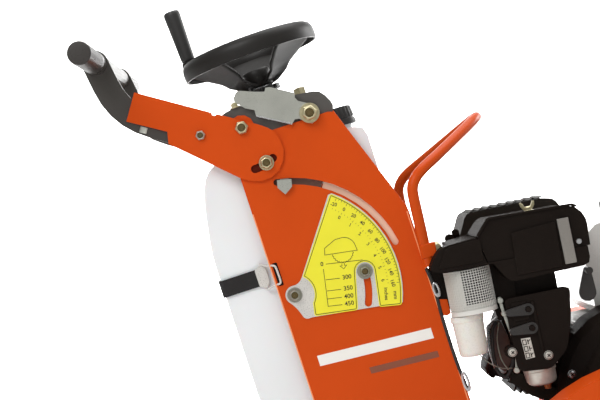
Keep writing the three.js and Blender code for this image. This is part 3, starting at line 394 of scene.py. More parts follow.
def smooth_line(points, steps=6):
    """A Catmull-Rom curve through points."""
    points = [Vector(p) for p in points]
    line = []
    for i in range(len(points) - 1):
        p0, p1 = points[max(i - 1, 0)], points[i]
        p2, p3 = points[i + 1], points[min(i + 2, len(points) - 1)]
        for step in range(steps):
            t = step / steps
            line.append(
                0.5 * (2 * p1 + (p2 - p0) * t + (2 * p0 - 5 * p1 + 4 * p2 - p3) * t * t
                       + (3 * p1 - p0 - 3 * p2 + p3) * t ** 3)
            )
    return [*line, points[-1]]


def polar(radius, degrees, x=0.0, z=0.0):
    a = math.radians(degrees)
    return x + radius * math.cos(a), z + radius * math.sin(a)


def arc(radius, start, end, steps, x=0.0, z=0.0):
    return [polar(radius, start + (end - start) * i / steps, x, z) for i in range(steps + 1)]


def hexagon(corner, turn=0):
    return [polar(corner, turn + 60 * i) for i in range(6)]


def mitres(line, closed):
    """The left-hand offset at each point that moves both of its edges by one."""
    count = len(line)
    offsets = []
    for i, point in enumerate(line):
        spans = []
        if i or closed:
            spans.append((line[i - 1], point))
        if i + 1 < count or closed:
            spans.append((point, line[(i + 1) % count]))
        normals = []
        for (ax, az), (bx, bz) in spans:
            length = math.hypot(bx - ax, bz - az) or 1.0
            normals.append((-(bz - az) / length, (bx - ax) / length))
        nx, nz = (sum(part) for part in zip(*normals))
        share = len(normals) / max(nx * nx + nz * nz, 0.5)
        offsets.append((nx * share, nz * share))
    return offsets


def shrink(line, inset):
    """The same closed outline, counter-clockwise, moved inwards."""
    return [(x + ox * inset, z + oz * inset)
            for (x, z), (ox, oz) in zip(line, mitres(line, True))]


def rounded(corners, steps=4):
    """A closed outline through (x, z, radius) corners."""
    line = []
    for i, (x, z, radius) in enumerate(corners):
        px, pz, _ = corners[i - 1]
        nx, nz, _ = corners[(i + 1) % len(corners)]
        if not radius:
            line.append((x, z))
            continue
        back, ahead = math.hypot(px - x, pz - z), math.hypot(nx - x, nz - z)
        ax, az = x + (px - x) * radius / back, z + (pz - z) * radius / back
        bx, bz = x + (nx - x) * radius / ahead, z + (nz - z) * radius / ahead
        for step in range(steps + 1):
            t = step / steps
            k = (1 - t) ** 2, 2 * t * (1 - t), t * t
            line.append((k[0] * ax + k[1] * x + k[2] * bx, k[0] * az + k[1] * z + k[2] * bz))
    return line


def band(bm, line, width, low, high, closed=False):
    """A flat line of even width through (x, z) points, with mitred corners."""
    rings = []
    for (x, z), (ox, oz) in zip(line, mitres(line, closed)):
        ox, oz = ox * width / 2, oz * width / 2
        rings.append([(x + ox, low, z + oz), (x - ox, low, z - oz),
                      (x - ox, high, z - oz), (x + ox, high, z + oz)])
    loft(bm, rings, closed=closed)


# ---- fasteners


def on_face(profile, y, side):
    """(radius, height) points that stand on the face at that y, towards a side."""
    return [(r, y + side * h) for r, h in profile]


def bolt(name, place, x, z, y, body, flats, look="yellow_zinc", washer=0.0, turn=10, side=-1):
    """A lock nut with a collar round the dark end of its bolt, on the face at that y."""
    bm = bmesh.new()
    base = 0.0
    if washer:
        rim = [(0, 0), (washer - 0.4, 0), (washer, 0.4), (washer - 0.3, 1.6), (0, 1.6)]
        revolve(bm, on_face(rim, y, side), (x, 0, z), sides=36)
        base = 1.6
    height = flats * 0.42
    nut = hexagon(flats / math.sqrt(3), turn)
    levels = ((0.97, base), (1, base + 0.5), (1, base + height - 1.6), (0.86, base + height))
    loft(bm, [[(x + px * scale, y + side * h, z + pz * scale) for px, pz in nut]
              for scale, h in levels])
    top = base + height
    inner, outer = flats * 0.33, flats * 0.45
    collar = [(inner, top - 1), (outer, top - 1), (outer - 0.4, top + 0.9),
              (inner + 0.5, top + 1.3), (inner, top + 0.8)]
    revolve(bm, on_face(collar, y, side), (x, 0, z), sides=32, closed=True)
    piece(name, bm, place, look, body, bevel=0.35)
    core = [(0, top - 1), (inner, top - 1), (inner, top + 0.2), (inner * 0.72, top + 0.5),
            (inner * 0.66, top + 1.2), (0, top + 1.2)]
    end = made(revolve, on_face(core, y, side), (x, 0, z), sides=24)
    piece(f"{name}_end", end, place, "bolt_end", body)


def cap_screw(name, x, z, y, radius, look, side=-1):
    """A round washer-headed screw on the chassis; its cross slot and the crease round its dome are
    dark pieces of painted shade.
    """
    head = [(0, 0), (radius, 0), (radius, 1), (radius * 0.78, 1.3), (radius * 0.74, 3.2),
            (radius * 0.55, 4.2), (0, 4.4)]
    piece(name, made(revolve, on_face(head, y, side), (x, 0, z), sides=32), CHASSIS, look)
    # Dark bars for the cross slot and a dark ring in the crease: painted shade.
    bm = bmesh.new()
    for turn in (35, 125):
        bar = [polar(radius * 0.44, turn, x, z), polar(radius * 0.44, turn + 180, x, z)]
        band(bm, bar, radius * 0.2, y + side * 4.1, y + side * 4.7)
    rim = [(radius * 0.8, 0.9), (radius * 0.92, 0.9), (radius * 0.92, 1.15), (radius * 0.8, 1.35)]
    revolve(bm, on_face(rim, y, side), (x, 0, z), sides=32, closed=True)
    piece(f"{name}_recess_shade", bm, CHASSIS, "engine_black")


def upright_nut(bm, x, y, z, corner, turn, height, washer):
    """A hexagon on a washer, standing on the level face at z."""
    ring = hexagon(corner, turn)
    loft(bm, [[(x + a, y + b, z + h) for a, b in ring] for h in (1.5, height)])
    revolve(bm, rect(0, washer, 0, 1.6), (x, y, z), "Z", 32)


# ---- CAD nodes that stay

KEPT = {
    "orange": {
        "chassis_frame": 1.2, "front_axle_frame": 1.0, "console_side_right": 0.9,
        "console_side_left": 0.9, "console_panel": 0.8, "handle_bracket_right": 0.7,
        "handle_bracket_left": 0.7, "belt_guard": 1.6, "blade_guard_rear": 1.0,
        "blade_guard_front": 1.0,
    },
    "dark_grey": {"top_bracket": 1.2},
    "frame_coat": {"handle_frame": 1.3},
    "black_coat": {"guide_arm": 1.0, "muffler": 1.5, "cylinder_head": 0.8},
    "plate_zinc": {"scale_plate": 0.4},
    "engine_black": {"fan_cover": 2.0, "recoil_starter": 1.5, "air_cleaner_base": 2.0,
                     "air_cleaner_cover": 3.0, "control_cover": 2.0},
    "black_plastic": {"fuel_cap": 1.5},
    "zinc": {"lock_lever": 0.5, "pointer_arm": 0.5, "indicator_rod": 0.5},
    "steel": {"rear_axle": 1.0, "spindle_nut": 0.8, "depth_spindle": 0.5, "bearing_right": 2.0,
              "bearing_left": 2.0, "blade_shaft": 0.6, "blade_flange": 0.8, "engine_pulley": 0.6,
              "blade_pulley": 0.6},
    "aluminium": {"crankcase": 3.0, "carburettor": 1.5},
    "wheel_grey": {"rear_hub_right": 1.2, "rear_hub_left": 1.2},
    "lever_grey": {"choke_lever": 0.6, "fuel_lever": 0.6, "throttle_lever": 0.6},
    "rubber": {"drive_belt": 1.0, "guide_wheel": 1.5, "front_wheel_right": 2.0,
               "front_wheel_left": 2.0},
    "fuel_tank": {"fuel_tank": 9.0},
    "milky": {"water_tank": 9.0},
}


def dress_kept_nodes():
    """Gives each CAD node that stays its material and its edge radius."""
    for look, members in KEPT.items():
        for name, edge in members.items():
            soft = name in ("water_tank", "fuel_tank")
            finish_shading(nodes[name], look, edge, segments=5 if soft else 2)


# ---- handle


def bar_centre():
    """The middle of the handlebar."""
    grip = node_middle("grip_right")
    return Vector((grip.x, 0, grip.z))


def build_grips():
    """Rubber grips with a rolled collar, fine rings and a flat end."""
    start, end, radius = 150, 280, 16
    for name, side in SIDES:
        profile = [(0, start + 0.2), (radius - 2.2, start + 0.2), (radius - 0.6, start + 1)]
        profile += [(radius - 0.1, start + 3), (radius - 0.1, start + 10)]
        for i in range(22):
            y = start + 14 + i * 5.2
            profile += [(radius, y), (radius, y + 3.4), (radius - 0.35, y + 4),
                        (radius - 0.35, y + 4.8)]
        profile += [(radius, end - 4), (radius - 0.2, end - 1.5), (radius - 1.4, end - 0.2)]
        profile += [(radius - 3, end), (0, end)]
        profile = [(r, side * y) for r, y in profile]
        piece(f"grip_sleeve_{name}", made(revolve, profile, sides=56), Place(bar_centre(), 0),
              "black_gloss", "handle", replaces=[f"grip_{name}"])


def build_handle_details():
    """Hinge nuts, arm bolts, rubber mounts, and the shadow and nut of each bracket's slot."""
    for name, side in SIDES:
        face = side * BRACKET_FACE
        bolt(f"handle_hinge_nut_{name}", HANDLE, 0, 0, face, "body", 16.6, side=side, turn=28)
        bolt(f"handle_arm_bolt_{name}", HANDLE, -52.3, -24.9, face, "handle", 12.5, "zinc", 0, 28,
             side)
        post = [(0, -42.4), (6.4, -42.4), (6.8, -41.6), (6.8, -34), (0, -33.6)]
        piece(f"rubber_mount_{name}", made(revolve, post, (-131, side * 130.5, 0), "Z", 24),
              HANDLE, "zinc", "handle")
        bolt(f"handle_slot_nut_{name}", CONSOLE, 41.2, 538.2, face + side * 0.2, "body", 16,
             washer=10.8, side=side, turn=24)
        ring = arc(65.4, -62, -24, 12) + arc(54.6, -24, -62, 12)
        piece(f"handle_slot_shadow_{name}", made(slab, ring, side * 135.5, side * 136.2), HANDLE,
              "slot_shadow", "handle")


# ---- handwheel


def build_handwheel():
    """Deep rim open below, three broad dished spokes and a stepped hub, as one casting."""
    bm = bmesh.new()
    rim = [(101.6, 43.2), (102.3, 48), (102.4, 57), (101, 63.5), (98, 68), (93.5, 70.4),
           (89, 70.2), (84.6, 67.6), (81.2, 62.5), (80.2, 56), (80.4, 47.6), (82.6, 47.4),
           (83.4, 55), (86, 61.5), (91, 64.6), (95.8, 62), (98, 56), (98.6, 43.2)]
    revolve(bm, rim, axis="Z", sides=96, closed=True)
    hub = [(7, 2.2), (17.6, 2.2), (19.2, 4), (20.6, 26), (19, 28), (0, 28.6)]
    revolve(bm, hub, axis="Z", sides=40)
    arm = [(10, 5, 15), (22, 8.5, 19), (38, 18.6, 24), (54, 28.7, 31), (68, 37.5, 38),
           (79, 44.4, 43), (89, 50.5, 46)]
    for turn in (90, 210, 330):
        spin = Matrix.Rotation(math.radians(turn), 3, "Z")
        rings = []
        for reach, height, half in arm:
            ring = [(-half, -3.4), (-half + 2, -4), (-half + 7, -1.4), (half - 7, -1.4),
                    (half - 2, -4), (half, -3.4), (half - 1, 1.2), (half - 6, 2.8),
                    (-half + 6, 2.8), (-half + 1, 1.2)]
            bow = [math.sqrt(reach ** 2 - a * a) if reach > 50 else reach for a, _ in ring]
            rings.append([spin @ Vector((r, a, height + b)) for (a, b), r in zip(ring, bow)])
        loft(bm, rings)
    revolve(bm, [(0, 62), (11.5, 62), (11, 73), (9, 74), (0, 74)], (KNOB_X, 0, 0), "Z", 32)
    piece("handwheel_casting", bm, SPINDLE, "wheel_black", "wheel_and_spindle", angle=50,
          replaces=["handwheel"])


def build_knob():
    """Tapered crank knob with shallow facets, widest near its top."""
    profile = [(0, 0), (9.2, 0.1), (10.2, 1.4), (10.4, 4), (11.3, 36), (12.2, 66), (12.4, 72),
               (12, 75.4), (10.4, 77.8), (8.6, 78.3), (8.2, 77.6), (0, 77.6)]
    grip = made(revolve, profile, (KNOB_X, 0, 74.3), "Z", 60,
                flute=lambda i, height: 0.988 if i % 5 == 0 and 4 < height < 74 else 1)
    piece("crank_knob_grip", grip, SPINDLE, "black_plastic", "knob", angle=50,
          replaces=["crank_knob"])


def build_hub_details():
    """The black lock disc, the spring and bush under it, and the nuts on the grey bracket."""
    ring = []
    for i in range(96):
        a = 360 * i / 96
        near = abs((a + 22.5) % 45 - 22.5)
        ring.append(polar(27.6 - (4.4 if near < 7 else 0), a))
    bore = arc(7.4, 0, 360 * 95 / 96, 95)
    edges = (bore, -7.2), (ring, -7.2), (ring, -0.4), (bore, -0.4)
    rings = [[(x, y, h) for x, y in line] for line, h in edges]
    piece("lock_disc", made(loft, rings, closed=True), SPINDLE, "black_plastic",
          "wheel_and_spindle", bevel=0.6, angle=50)
    bm = bmesh.new()
    coil = [(*polar(8.6, 30 * i), -19.5 + i * 12 / 48) for i in range(46)]
    sweep(bm, coil, circle(1.15, 8), up=Vector((0, 0, 1)))
    revolve(bm, rect(6.9, 10.4, -20, -17.6), axis="Z", sides=32, closed=True)
    piece("spindle_spring", bm, SPINDLE, "steel", "wheel_and_spindle")
    nuts = (117, 615, -78, 12, 9.4), (23.5, 624.4, -128, 7, 5.6)
    for i, (u, v, y, tall, corner) in enumerate(nuts):
        bm = bmesh.new()
        upright_nut(bm, u, y, v, corner, 30, tall, corner + 2)
        revolve(bm, rect(0, corner / 2, tall - 1, tall + 1), (u, y, v), "Z", 20)
        piece(f"bracket_nut_{i}", bm, CONSOLE, "yellow_zinc", bevel=0.4)


def build_lever_details():
    """Pivot washer and nut of the spindle lock, and its bright folded lip."""
    profile = [(0, -141.5), (13.6, -141.5), (14.2, -142.2), (13.8, -143.6), (0, -143.6)]
    piece("lock_pivot_washer", made(revolve, profile, sides=40), LEVER, "yellow_zinc", "lock")
    bolt("lock_pivot_nut", LEVER, 0, 0, -143.7, "body", 19, "yellow_zinc", 0, 20)
    outline = [(-73.9, -3.2), (-24, -14.3), (-23.6, -16.2), (-73.4, -5.1)]
    piece("lock_lever_lip", made(slab, outline, -142.2, -136), LEVER, "steel", "lock", bevel=0.5)


# ---- depth scale

LABEL_BACK, LABEL_FACE = -PLATE_FACE - 0.02, -PLATE_FACE - 0.35


def label_outline():
    """The yellow label: an arc edge, a scoop round the pivot and a notch round the slot."""
    bolt_x, bolt_z = polar(*SCALE_BOLT)
    corners = [(x, z, 0) for x, z in arc(LABEL_RADIUS, -20.6, 49.8, 22)]
    corners += [(90.2, 118.2, 3.5)]
    corners += [(x, z, 0) for x, z in arc(27.6, 48.5, -42, 10)]
    corners += [(16.8, -36.6, 4), (76.8, -47, 4)]
    corners += [(x, z, 0) for x, z in arc(12.8, 176 + LABEL_SLOPE, 8 + LABEL_SLOPE, 10, bolt_x,
                                          bolt_z)]
    corners += [(106, -52.4, 4), (137, -59.2, 4)]
    return rounded(corners)


def text_mesh(bm, body, size, x, z, turn):
    """Adds flat lettering, centred on (x, z), turned in the label's plane."""
    curve = bpy.data.curves.new("figures", "FONT")
    curve.body = body
    curve.size = size
    curve.align_x = "CENTER"
    curve.align_y = "CENTER"
    curve.extrude = 0.06
    curve.offset = size * 0.018
    curve.resolution_u = 3
    maker = add_object("figures", curve)
    bpy.context.view_layer.update()
    mesh = bpy.data.meshes.new_from_object(maker)
    bpy.data.objects.remove(maker)
    stand = Matrix.Rotation(math.radians(90), 4, "X")
    spin = Matrix.Rotation(math.radians(-turn), 4, "Y")
    mesh.transform(Matrix.Translation((x, LABEL_FACE - 0.02, z)) @ spin @ stand)
    bm.from_mesh(mesh)
    bpy.data.meshes.remove(mesh)


def build_label():
    """The yellow label and everything printed on it."""
    piece("scale_label", made(slab, label_outline(), LABEL_FACE, LABEL_BACK), SCALE, "yellow",
          "scale")

    ink_low, ink_high = LABEL_FACE - 0.12, LABEL_FACE + 0.05
    bm = bmesh.new()
    band(bm, shrink(label_outline(), 1.9), 0.9, ink_low, ink_high, closed=True)
    print_scale(bm, ink_low, ink_high)
    print_pictogram(bm, ink_low, ink_high)
    piece("scale_print", bm, SCALE, "print", "scale", angle=80)


def print_scale(bm, low, high):
    """Millimetres on the outer ring, inches on the inner ring."""
    first, last = 48.6, -11.2  # angles of -20 mm and of 160 mm
    span = (last - first) / 180
    for depth in range(-20, 161, 5):
        angle = first + span * (depth + 20)
        upright = angle - 90 - LABEL_SLOPE
        long = depth % 20 == 0
        reach = 3.6 if long else 2.4 if depth % 10 == 0 else 1.6
        band(bm, [polar(MM_RADIUS, angle), polar(MM_RADIUS - reach, angle)], 0.55, low, high)
        if long:
            text_mesh(bm, str(depth), 7.0, *polar(MM_RADIUS - 9.2, angle), upright)
    for quarter in range(-3, 27):
        angle = first + span * (quarter * 6.35 + 20)
        if angle < last:
            continue
        upright = angle - 90 - LABEL_SLOPE
        long = quarter % 4 == 0
        reach = 2.8 if long else 1.4
        band(bm, [polar(INCH_RADIUS, angle), polar(INCH_RADIUS - reach, angle)], 0.5, low, high)
        if long:
            text_mesh(bm, str(quarter // 4), 6.6, *polar(INCH_RADIUS - 7.4, angle), upright)
    text_mesh(bm, "mm", 7.6, *polar(139.4, -18.2), -104)
    text_mesh(bm, "inches", 7.0, *polar(126.6, -17.4), -104)


def print_pictogram(bm, low, high):
    """A guard over a toothed blade with its depth line and the blade sizes below."""
    slope = -9.5
    turn = math.radians(slope)

    def local(a, b):
        return (79.5 + a * math.cos(turn) - b * math.sin(turn),
                36.4 + a * math.sin(turn) + b * math.cos(turn))

    guard = [local(*p) for p in [(22.6, -0.6), *arc(16.4, 12, 96, 8, 4.6, 3.4), (-6, 18.4),
                                 (-22, 8.6), (-23, -0.6)]]
    band(bm, guard, 0.8, low, high, closed=True)
    teeth = []
    for i in range(25):
        radius = 15.2 if i % 2 else 13.8
        teeth.append(local(*polar(radius, 186 + 168 * i / 24, 2.0, 0)))
    band(bm, teeth, 0.7, low, high)
    band(bm, [(54.2, 27.2), (104.4, 17.0)], 0.8, low, high)
    text_mesh(bm, "0", 8.4, 48.9, 28.8, slope)
    tip = [local(*p) for p in [(-1.6, -15.4), (-1.6, -18.8), (-4.4, -18.8), (0.2, -23.4),
                               (4.8, -18.8), (2.0, -18.8), (2.0, -15.4)]]
    band(bm, tip, 0.7, low, high)
    band(bm, [(48.8, 21.8), (38.9, -29.6)], 0.8, low, high)
    starts = (47.0, 6.6), (44.0, -8.6), (41.4, -19.4), (39.0, -29.3)
    for size, (x, z) in zip((300, 350, 400, 450), starts):
        band(bm, [(x, z), (x + 19.4, z - 3.9)], 0.8, low, high)
        text_mesh(bm, str(size), 8.6, x + 29.2, z - 5.4, slope)


def build_scale_hardware():
    """The scale's pivot nut and the nut that clamps its plate."""
    bolt("scale_pivot_nut", CONSOLE, SCALE_PIVOT.x, SCALE_PIVOT.z, -PLATE_FACE - 0.1, "body", 14.5,
         "dull_zinc", 10.6, 20)
    x, z = polar(*SCALE_BOLT, SCALE_PIVOT.x, SCALE_PIVOT.z)
    bolt("scale_clamp_nut", CONSOLE, x, z, -PLATE_FACE - 0.4, "body", 13.5, "dull_zinc", 11, 5)


def build_slot_strips():
    """Strips seen through the pointer's slot: painted shade under the pointer, and beyond it a
    brightened, pink-tinted strip of painted light.
    """
    for name, look, start, end in (("slot_strip_painted_shade", "slot_painted_shade", 58, 84),
                                   ("slot_strip_painted_light", "slot_painted_light", 6, 57.5)):
        ring = arc(TRACK_RADIUS + 7, start, end, 20) + arc(TRACK_RADIUS - 7, end, start, 20)
        piece(name, made(slab, ring, -127, -126), SCALE, look)


def build_console_decal():
    """A plain two-tone stripe, the folded front of each wall, and thin beads along that fold and
    along the rear edge, coloured lighter than the paint as painted highlight.
    """
    for side_name, side in SIDES:
        for name, look, low, high, start, end in (
            ("decal_white", "white_print", 247, 262, 24, 186),
            ("decal_grey", "grey_print", 215, 224, 88, 185),
        ):
            drop = -0.075 * (end - start)
            corners = [(start, low), (end, low + drop), (end, high + drop), (start, high)]
            piece(f"{name}_{side_name}", made(slab, corners, side * (WALL + 0.02),
                                              side * (WALL + 0.22)), CONSOLE, look)
        strip = [(150.4, 577.5), (151.8, 579), (207.4, 421), (208.2, 412), (207.4, 150), (207, 30),
                 (202.4, 30), (198.6, 412)]
        piece(f"front_fold_{side_name}", made(slab, strip, side * (WALL - 3.4),
                                              side * (WALL + 0.04)), CONSOLE, "orange", bevel=0.8)
        # Thin beads along the fold and the rear edge, coloured lighter than the paint: painted
        # highlight.
        path = [(u, side * (WALL + 0.1), v) for u, v in ((203.8, 30), (205.4, 414))]
        piece(f"front_fold_highlight_{side_name}", made(sweep, path, circle(0.9, 8)), CONSOLE,
              "orange_painted_highlight")
        path = [(0.8, side * WALL, 60), (0.8, side * WALL, 476)]
        piece(f"rear_edge_highlight_{side_name}", made(sweep, path, circle(0.9, 8)), CONSOLE,
              "orange_painted_highlight")


# ---- tank, strap and cap


def build_tank_cap():
    """Black screw cap with coarse grip flutes over a smooth collar."""
    profile = [(21, 0), (27.6, 0), (28, 1.5), (27.8, 8), (26, 8.8), (26, 10), (27.4, 11),
               (26.4, 24), (25.2, 26.2), (23, 26.8), (0, 26.8)]
    cap = made(revolve, profile, (153, -71, 556.2), "Z", 96,
               flute=lambda i, height: 0.95 if i % 4 < 2 and 10.5 < height < 25 else 1)
    piece("tank_cap_shell", cap, CONSOLE, "black_plastic", "water_cap", angle=40,
          replaces=["tank_cap"])


def build_strap():
    """Webbing round the tank, held to each console wall by a wire loop through a slot drawn as a
    black patch of painted shade.
    """
    wide, rear, front, turn = 120.4, -74.6, -12.0, 8
    low, high, half = 377.5, 401.5, 0.9
    path = [(front, -wide), (rear + turn, -wide)]
    path += [(rear + turn - turn * math.sin(a), -wide + turn - turn * math.cos(a))
             for a in (math.pi * i / 16 for i in range(1, 8))]
    path += [(rear, -wide + turn)]
    path += [(x, -y) for x, y in reversed(path)]
    rings = []
    for (x, y), (nx, ny) in zip(path, mitres(path, False)):
        nx, ny = nx * half, ny * half
        rings.append([(x - nx, y - ny, low), (x + nx, y + ny, low),
                      (x + nx, y + ny, high), (x - nx, y - ny, high)])
    piece("tank_strap_webbing", made(loft, rings), CONSOLE, "webbing", replaces=["tank_strap"])
    for name, side in SIDES:
        plate = rounded([(-22, 378, 2), (-12, 372, 2), (-6, 380, 3), (-6, 399, 3), (-12, 407, 2),
                         (-22, 401, 2)])
        piece(f"strap_hook_{name}", made(slab, plate, side * 121.5, side * 122.9), CONSOLE,
              "plate_zinc", bevel=0.4)
        loop = [(-13, 122.5, 407), (-3, 130, 402.5), (5.5, 137, 400), (8, 138, 397),
                (8.6, 138, 387), (8.6, 138, 377), (6.5, 137, 373.5), (-3, 130, 373),
                (-13, 122.5, 370)]
        path = smooth_line([(x, side * y, z) for x, y, z in loop], 4)
        piece(f"strap_loop_{name}", made(sweep, path, circle(1.5, 10),
                                         up=Vector((0.3, 0.2, 1)).normalized()), CONSOLE,
              "plate_zinc")
        # The slot is a black patch on the wall: painted shade of the opening.
        outline = rounded([(x, z, 2) for x, z in rect(4, 11.4, 370, 403)])
        piece(f"strap_slot_shade_{name}", made(slab, outline, side * (WALL + 0.02), side * (WALL + 0.2)),
              CONSOLE, "engine_black")


# ---- lifting bail


def build_bail():
    """Round bar hoop with flattened lugs and their bolts."""
    _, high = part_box("lift_bail")
    apex = Vector((high.x - 0.008, 0, high.z - 0.0076))
    shift = apex - Vector((0.261, 0, 0.822))
    leg = [(180, -140, 608), (173, -140, 634), (165.5, -140, 668), (157.4, -140, 704),
           (156.2, -139.6, 718), (161, -137, 731), (172, -130, 744), (196, -107, 765),
           (232, -62, 797), (251, -34, 814), (258.6, -14, 821)]
    path = [Vector(p) for p in leg] + [Vector((261, 0, 822))]
    path += [Vector((x, -y, z)) for x, y, z in reversed(leg)]
    lean = Vector((1, 0, 0.3)).normalized()
    piece("bail_hoop", made(sweep, smooth_line(path, 5), circle(7.9, 24), up=lean),
          Place(shift, 0), "bail_orange", angle=60, replaces=["lift_bail"])
    for name, side in SIDES:
        lug = rounded([(204.4, 344, 2), (225.4, 344, 2), (228, 362.4, 2), (206.6, 363.4, 2)])
        piece(f"bail_lug_{name}", made(slab, lug, side * 130.4, side * 148.2), CONSOLE, "orange",
              bevel=1.6)
        bm = bmesh.new()
        y, z = side * 139, 354
        loft(bm, [[(u, y + a, z + b) for a, b in hexagon(8.2, 30)] for u in (226.6, 232.6)])
        revolve(bm, [(0, 232), (4.2, 232), (4, 235), (0, 235)], (0, y, z), "X", 20)
        piece(f"bail_bolt_{name}", bm, CONSOLE, "yellow_zinc", bevel=0.5)


# ---- engine


def build_screen():
    """Cyclone pre-cleaner: milky on its rear side, a dark core inside a square grid ahead."""
    axis = (SCREEN_X, SCREEN_Y, 0)
    radius, low, high, foot = 32.2, 400.2, 463.0, 6
    shell = made(revolve, rect(0, radius - 2.2, low + 1, high - 1), axis, "Z", 64)
    piece("screen_shell", shell, CHASSIS, "screen", replaces=["precleaner_screen"])
    dark = arc(radius - 1.5, -112, 150, 40, *axis[:2]) + arc(radius - 4, 150, -112, 40, *axis[:2])
    core = made(loft, [[(x, y, z) for x, y in dark] for z in (low + 14, high - 1)])
    piece("screen_core", core, CHASSIS, "screen_dark", angle=50)
    bm = bmesh.new()
    wires, rows = 54, 16
    for i in range(wires):
        x, y = polar(radius - 0.6, i * 360 / wires, *axis[:2])
        revolve(bm, rect(0, 0.42, low + foot, high - 1), (x, y, 0), "Z", 6)
    for i in range(rows + 1):
        z = low + foot + (high - low - 8) * i / rows
        hoop = rect(radius - 1.1, radius - 0.2, z - 0.4, z + 0.4)
        revolve(bm, hoop, axis, "Z", 64, closed=True)
    revolve(bm, rect(radius - 2, radius + 0.2, low, low + foot), axis, "Z", 64, closed=True)
    piece("screen_grid", bm, CHASSIS, "screen", angle=50)


def build_dust_cup():
    """Milky cup with a collar, a slight taper and a domed foot."""
    profile = [(0, 341), (10, 341.2), (17.6, 343.4), (19.6, 346), (20.2, 350), (21.6, 388),
               (22.0, 391), (23.2, 391.6), (23.2, 398.6), (21.4, 399.6), (0, 399.6)]
    piece("dust_cup_shell", made(revolve, profile, (254, SCREEN_Y, 0), "Z", 64), CHASSIS,
          "milky_cup", replaces=["dust_cup"])


def build_air_cleaner_details():
    """The lid's rim, panel and cheek, a grey strip of painted reflection, the duct, the wing nut
    and a screw.
    """
    lip = [(284.4, 503.6), (286.4, 507), (301.9, 524.6), (306, 526), (420, 522.4), (427, 518.6),
           (424.6, 516.2), (418, 519.2), (307, 522.8), (304, 521), (288.6, 503.4)]
    piece("air_cleaner_lip", made(slab, lip, -187.2, -180), CHASSIS, "engine_black", bevel=0.8)
    outline = rounded([(331, 499, 3), (393, 503, 3), (392, 441, 3), (329, 441, 3)])
    piece("air_cleaner_panel", made(slab, outline, -188.6, -185.4), CHASSIS, "engine_black",
          bevel=1.4)
    # A lighter grey strip beside the panel: painted reflection on the lid's side.
    sheen = [(395.5, -187.4), (400, -188.6), (411, -189), (411, -185.6), (395.5, -185.6)]
    rings = [[(x, y, z) for x, y in sheen] for z in (443, 505)]
    piece("air_cleaner_painted_reflection", made(loft, rings), CHASSIS, "engine_painted_reflection", bevel=0.6)
    cheek = rounded([(225, 470, 3), (288, 469, 3), (289, 500, 4), (240, 496.5, 8)])
    piece("air_cleaner_cheek", made(slab, cheek, -188, -185.6), CHASSIS, "engine_black",
          bevel=1.4)
    outline = rounded([(284, 467, 1), (330, 463, 1), (326, 380, 4), (296, 382, 4)])
    piece("air_cleaner_duct", made(slab, outline, -147, -118), CHASSIS, "engine_black", bevel=1.2)
    bm = bmesh.new()
    x0, y0, z0 = 369, -130, 520.6
    revolve(bm, [(0, 0), (9, 0), (9, 1.4), (5.4, 2), (5.4, 6), (3.4, 7.4), (0, 7.4)], (x0, y0, z0),
            "Z", 24)
    for sign in (-1, 1):
        wing = [(sign * 3, 2), (sign * 7, 3.6), (sign * 10, 8.6), (sign * 10.4, 13.4),
                (sign * 7.6, 14), (sign * 4.6, 8.4), (sign * 2.4, 6.6)]
        slab(bm, [(x0 + a, z0 + b) for a, b in wing], y0 - 1.3, y0 + 1.3)
    piece("wing_nut", bm, CHASSIS, "yellow_zinc", bevel=0.4)
    profile = boss(3.4, 4, -189.6, -188.6, -187)
    piece("air_cleaner_screw", made(revolve, profile, (419, 0, 470), "Y", 20), CHASSIS, "steel")


def build_control_panel():
    """Ridges, screws and plain symbols on the control cover; the float bowl and a bracket."""
    bm = bmesh.new()
    revolve(bm, boss(8.6, 9, -168, -167, -150), (303.6, 0, 338.4), "Y", 32)
    slab(bm, rounded([(341, 402, 2), (346, 402, 2), (347, 332, 2), (343, 332, 2)]), -170.4, -167.6)
    slab(bm, rounded([(314, 405, 3), (336, 404, 3), (336, 378, 3), (314, 378, 3)]), -169.6, -167.6)
    piece("cover_lug", bm, CHASSIS, "engine_black", bevel=0.8)
    for i, (x, z) in enumerate(((303.6, 338.4), (351.1, 324.8))):
        cap_screw(f"cover_screw_{i}", x, z, -168.2, 6.2, "pale_zinc")
    outline = [(318.4, 354), (331.4, 353.4), (332.6, 325.6), (320, 325)]
    piece("symbol_plate", made(slab, outline, -168.16, -168.02), CHASSIS, "pale_zinc")
    bm = bmesh.new()
    low, high = -168.28, -168.1
    for i in range(3):
        z, x = 351.6 - i * 9.2, 320.0 + i * 0.5
        frame_line = [(x, z), (x + 4.6, z - 0.2), (x + 4.8, z - 6.6), (x + 0.2, z - 6.6)]
        band(bm, frame_line, 1.1, low, high, closed=True)
        band(bm, [(x + 7, z - 0.2), (x + 7.4, z - 6.8)], 1.3, low, high)
        band(bm, [(x + 7.2, z - 3.4), (x + 10.6, z - 0.8 - 3 * (i % 2))], 1.2, low, high)
    piece("symbols", bm, CHASSIS, "engine_black")
    profile = [(0, 276), (4.4, 276), (5.2, 277), (5.4, 282), (7.6, 282.6), (7.6, 285), (0, 285)]
    piece("bowl_drain_screw", made(revolve, profile, (346, BOWL_Y, 0), "Z", 6), CHASSIS, "copper",
          bevel=0.6)
    profile = [(0, 284), (15, 284.2), (19, 286.4), (20.6, 290), (20.8, 303), (22, 304),
               (22, 310), (0, 310)]
    piece("float_bowl", made(revolve, profile, (339.6, BOWL_Y, 0), "Z", 48), CHASSIS, "pale_zinc")
    bracket = [(299, 290), (311, 279), (321, 268), (350, 249), (372, 243), (374, 266),
               (352, 272), (334, 284), (316, 300), (303, 302)]
    piece("engine_bracket", made(slab, bracket, -104, -96), CHASSIS, "black_coat", bevel=1.0)


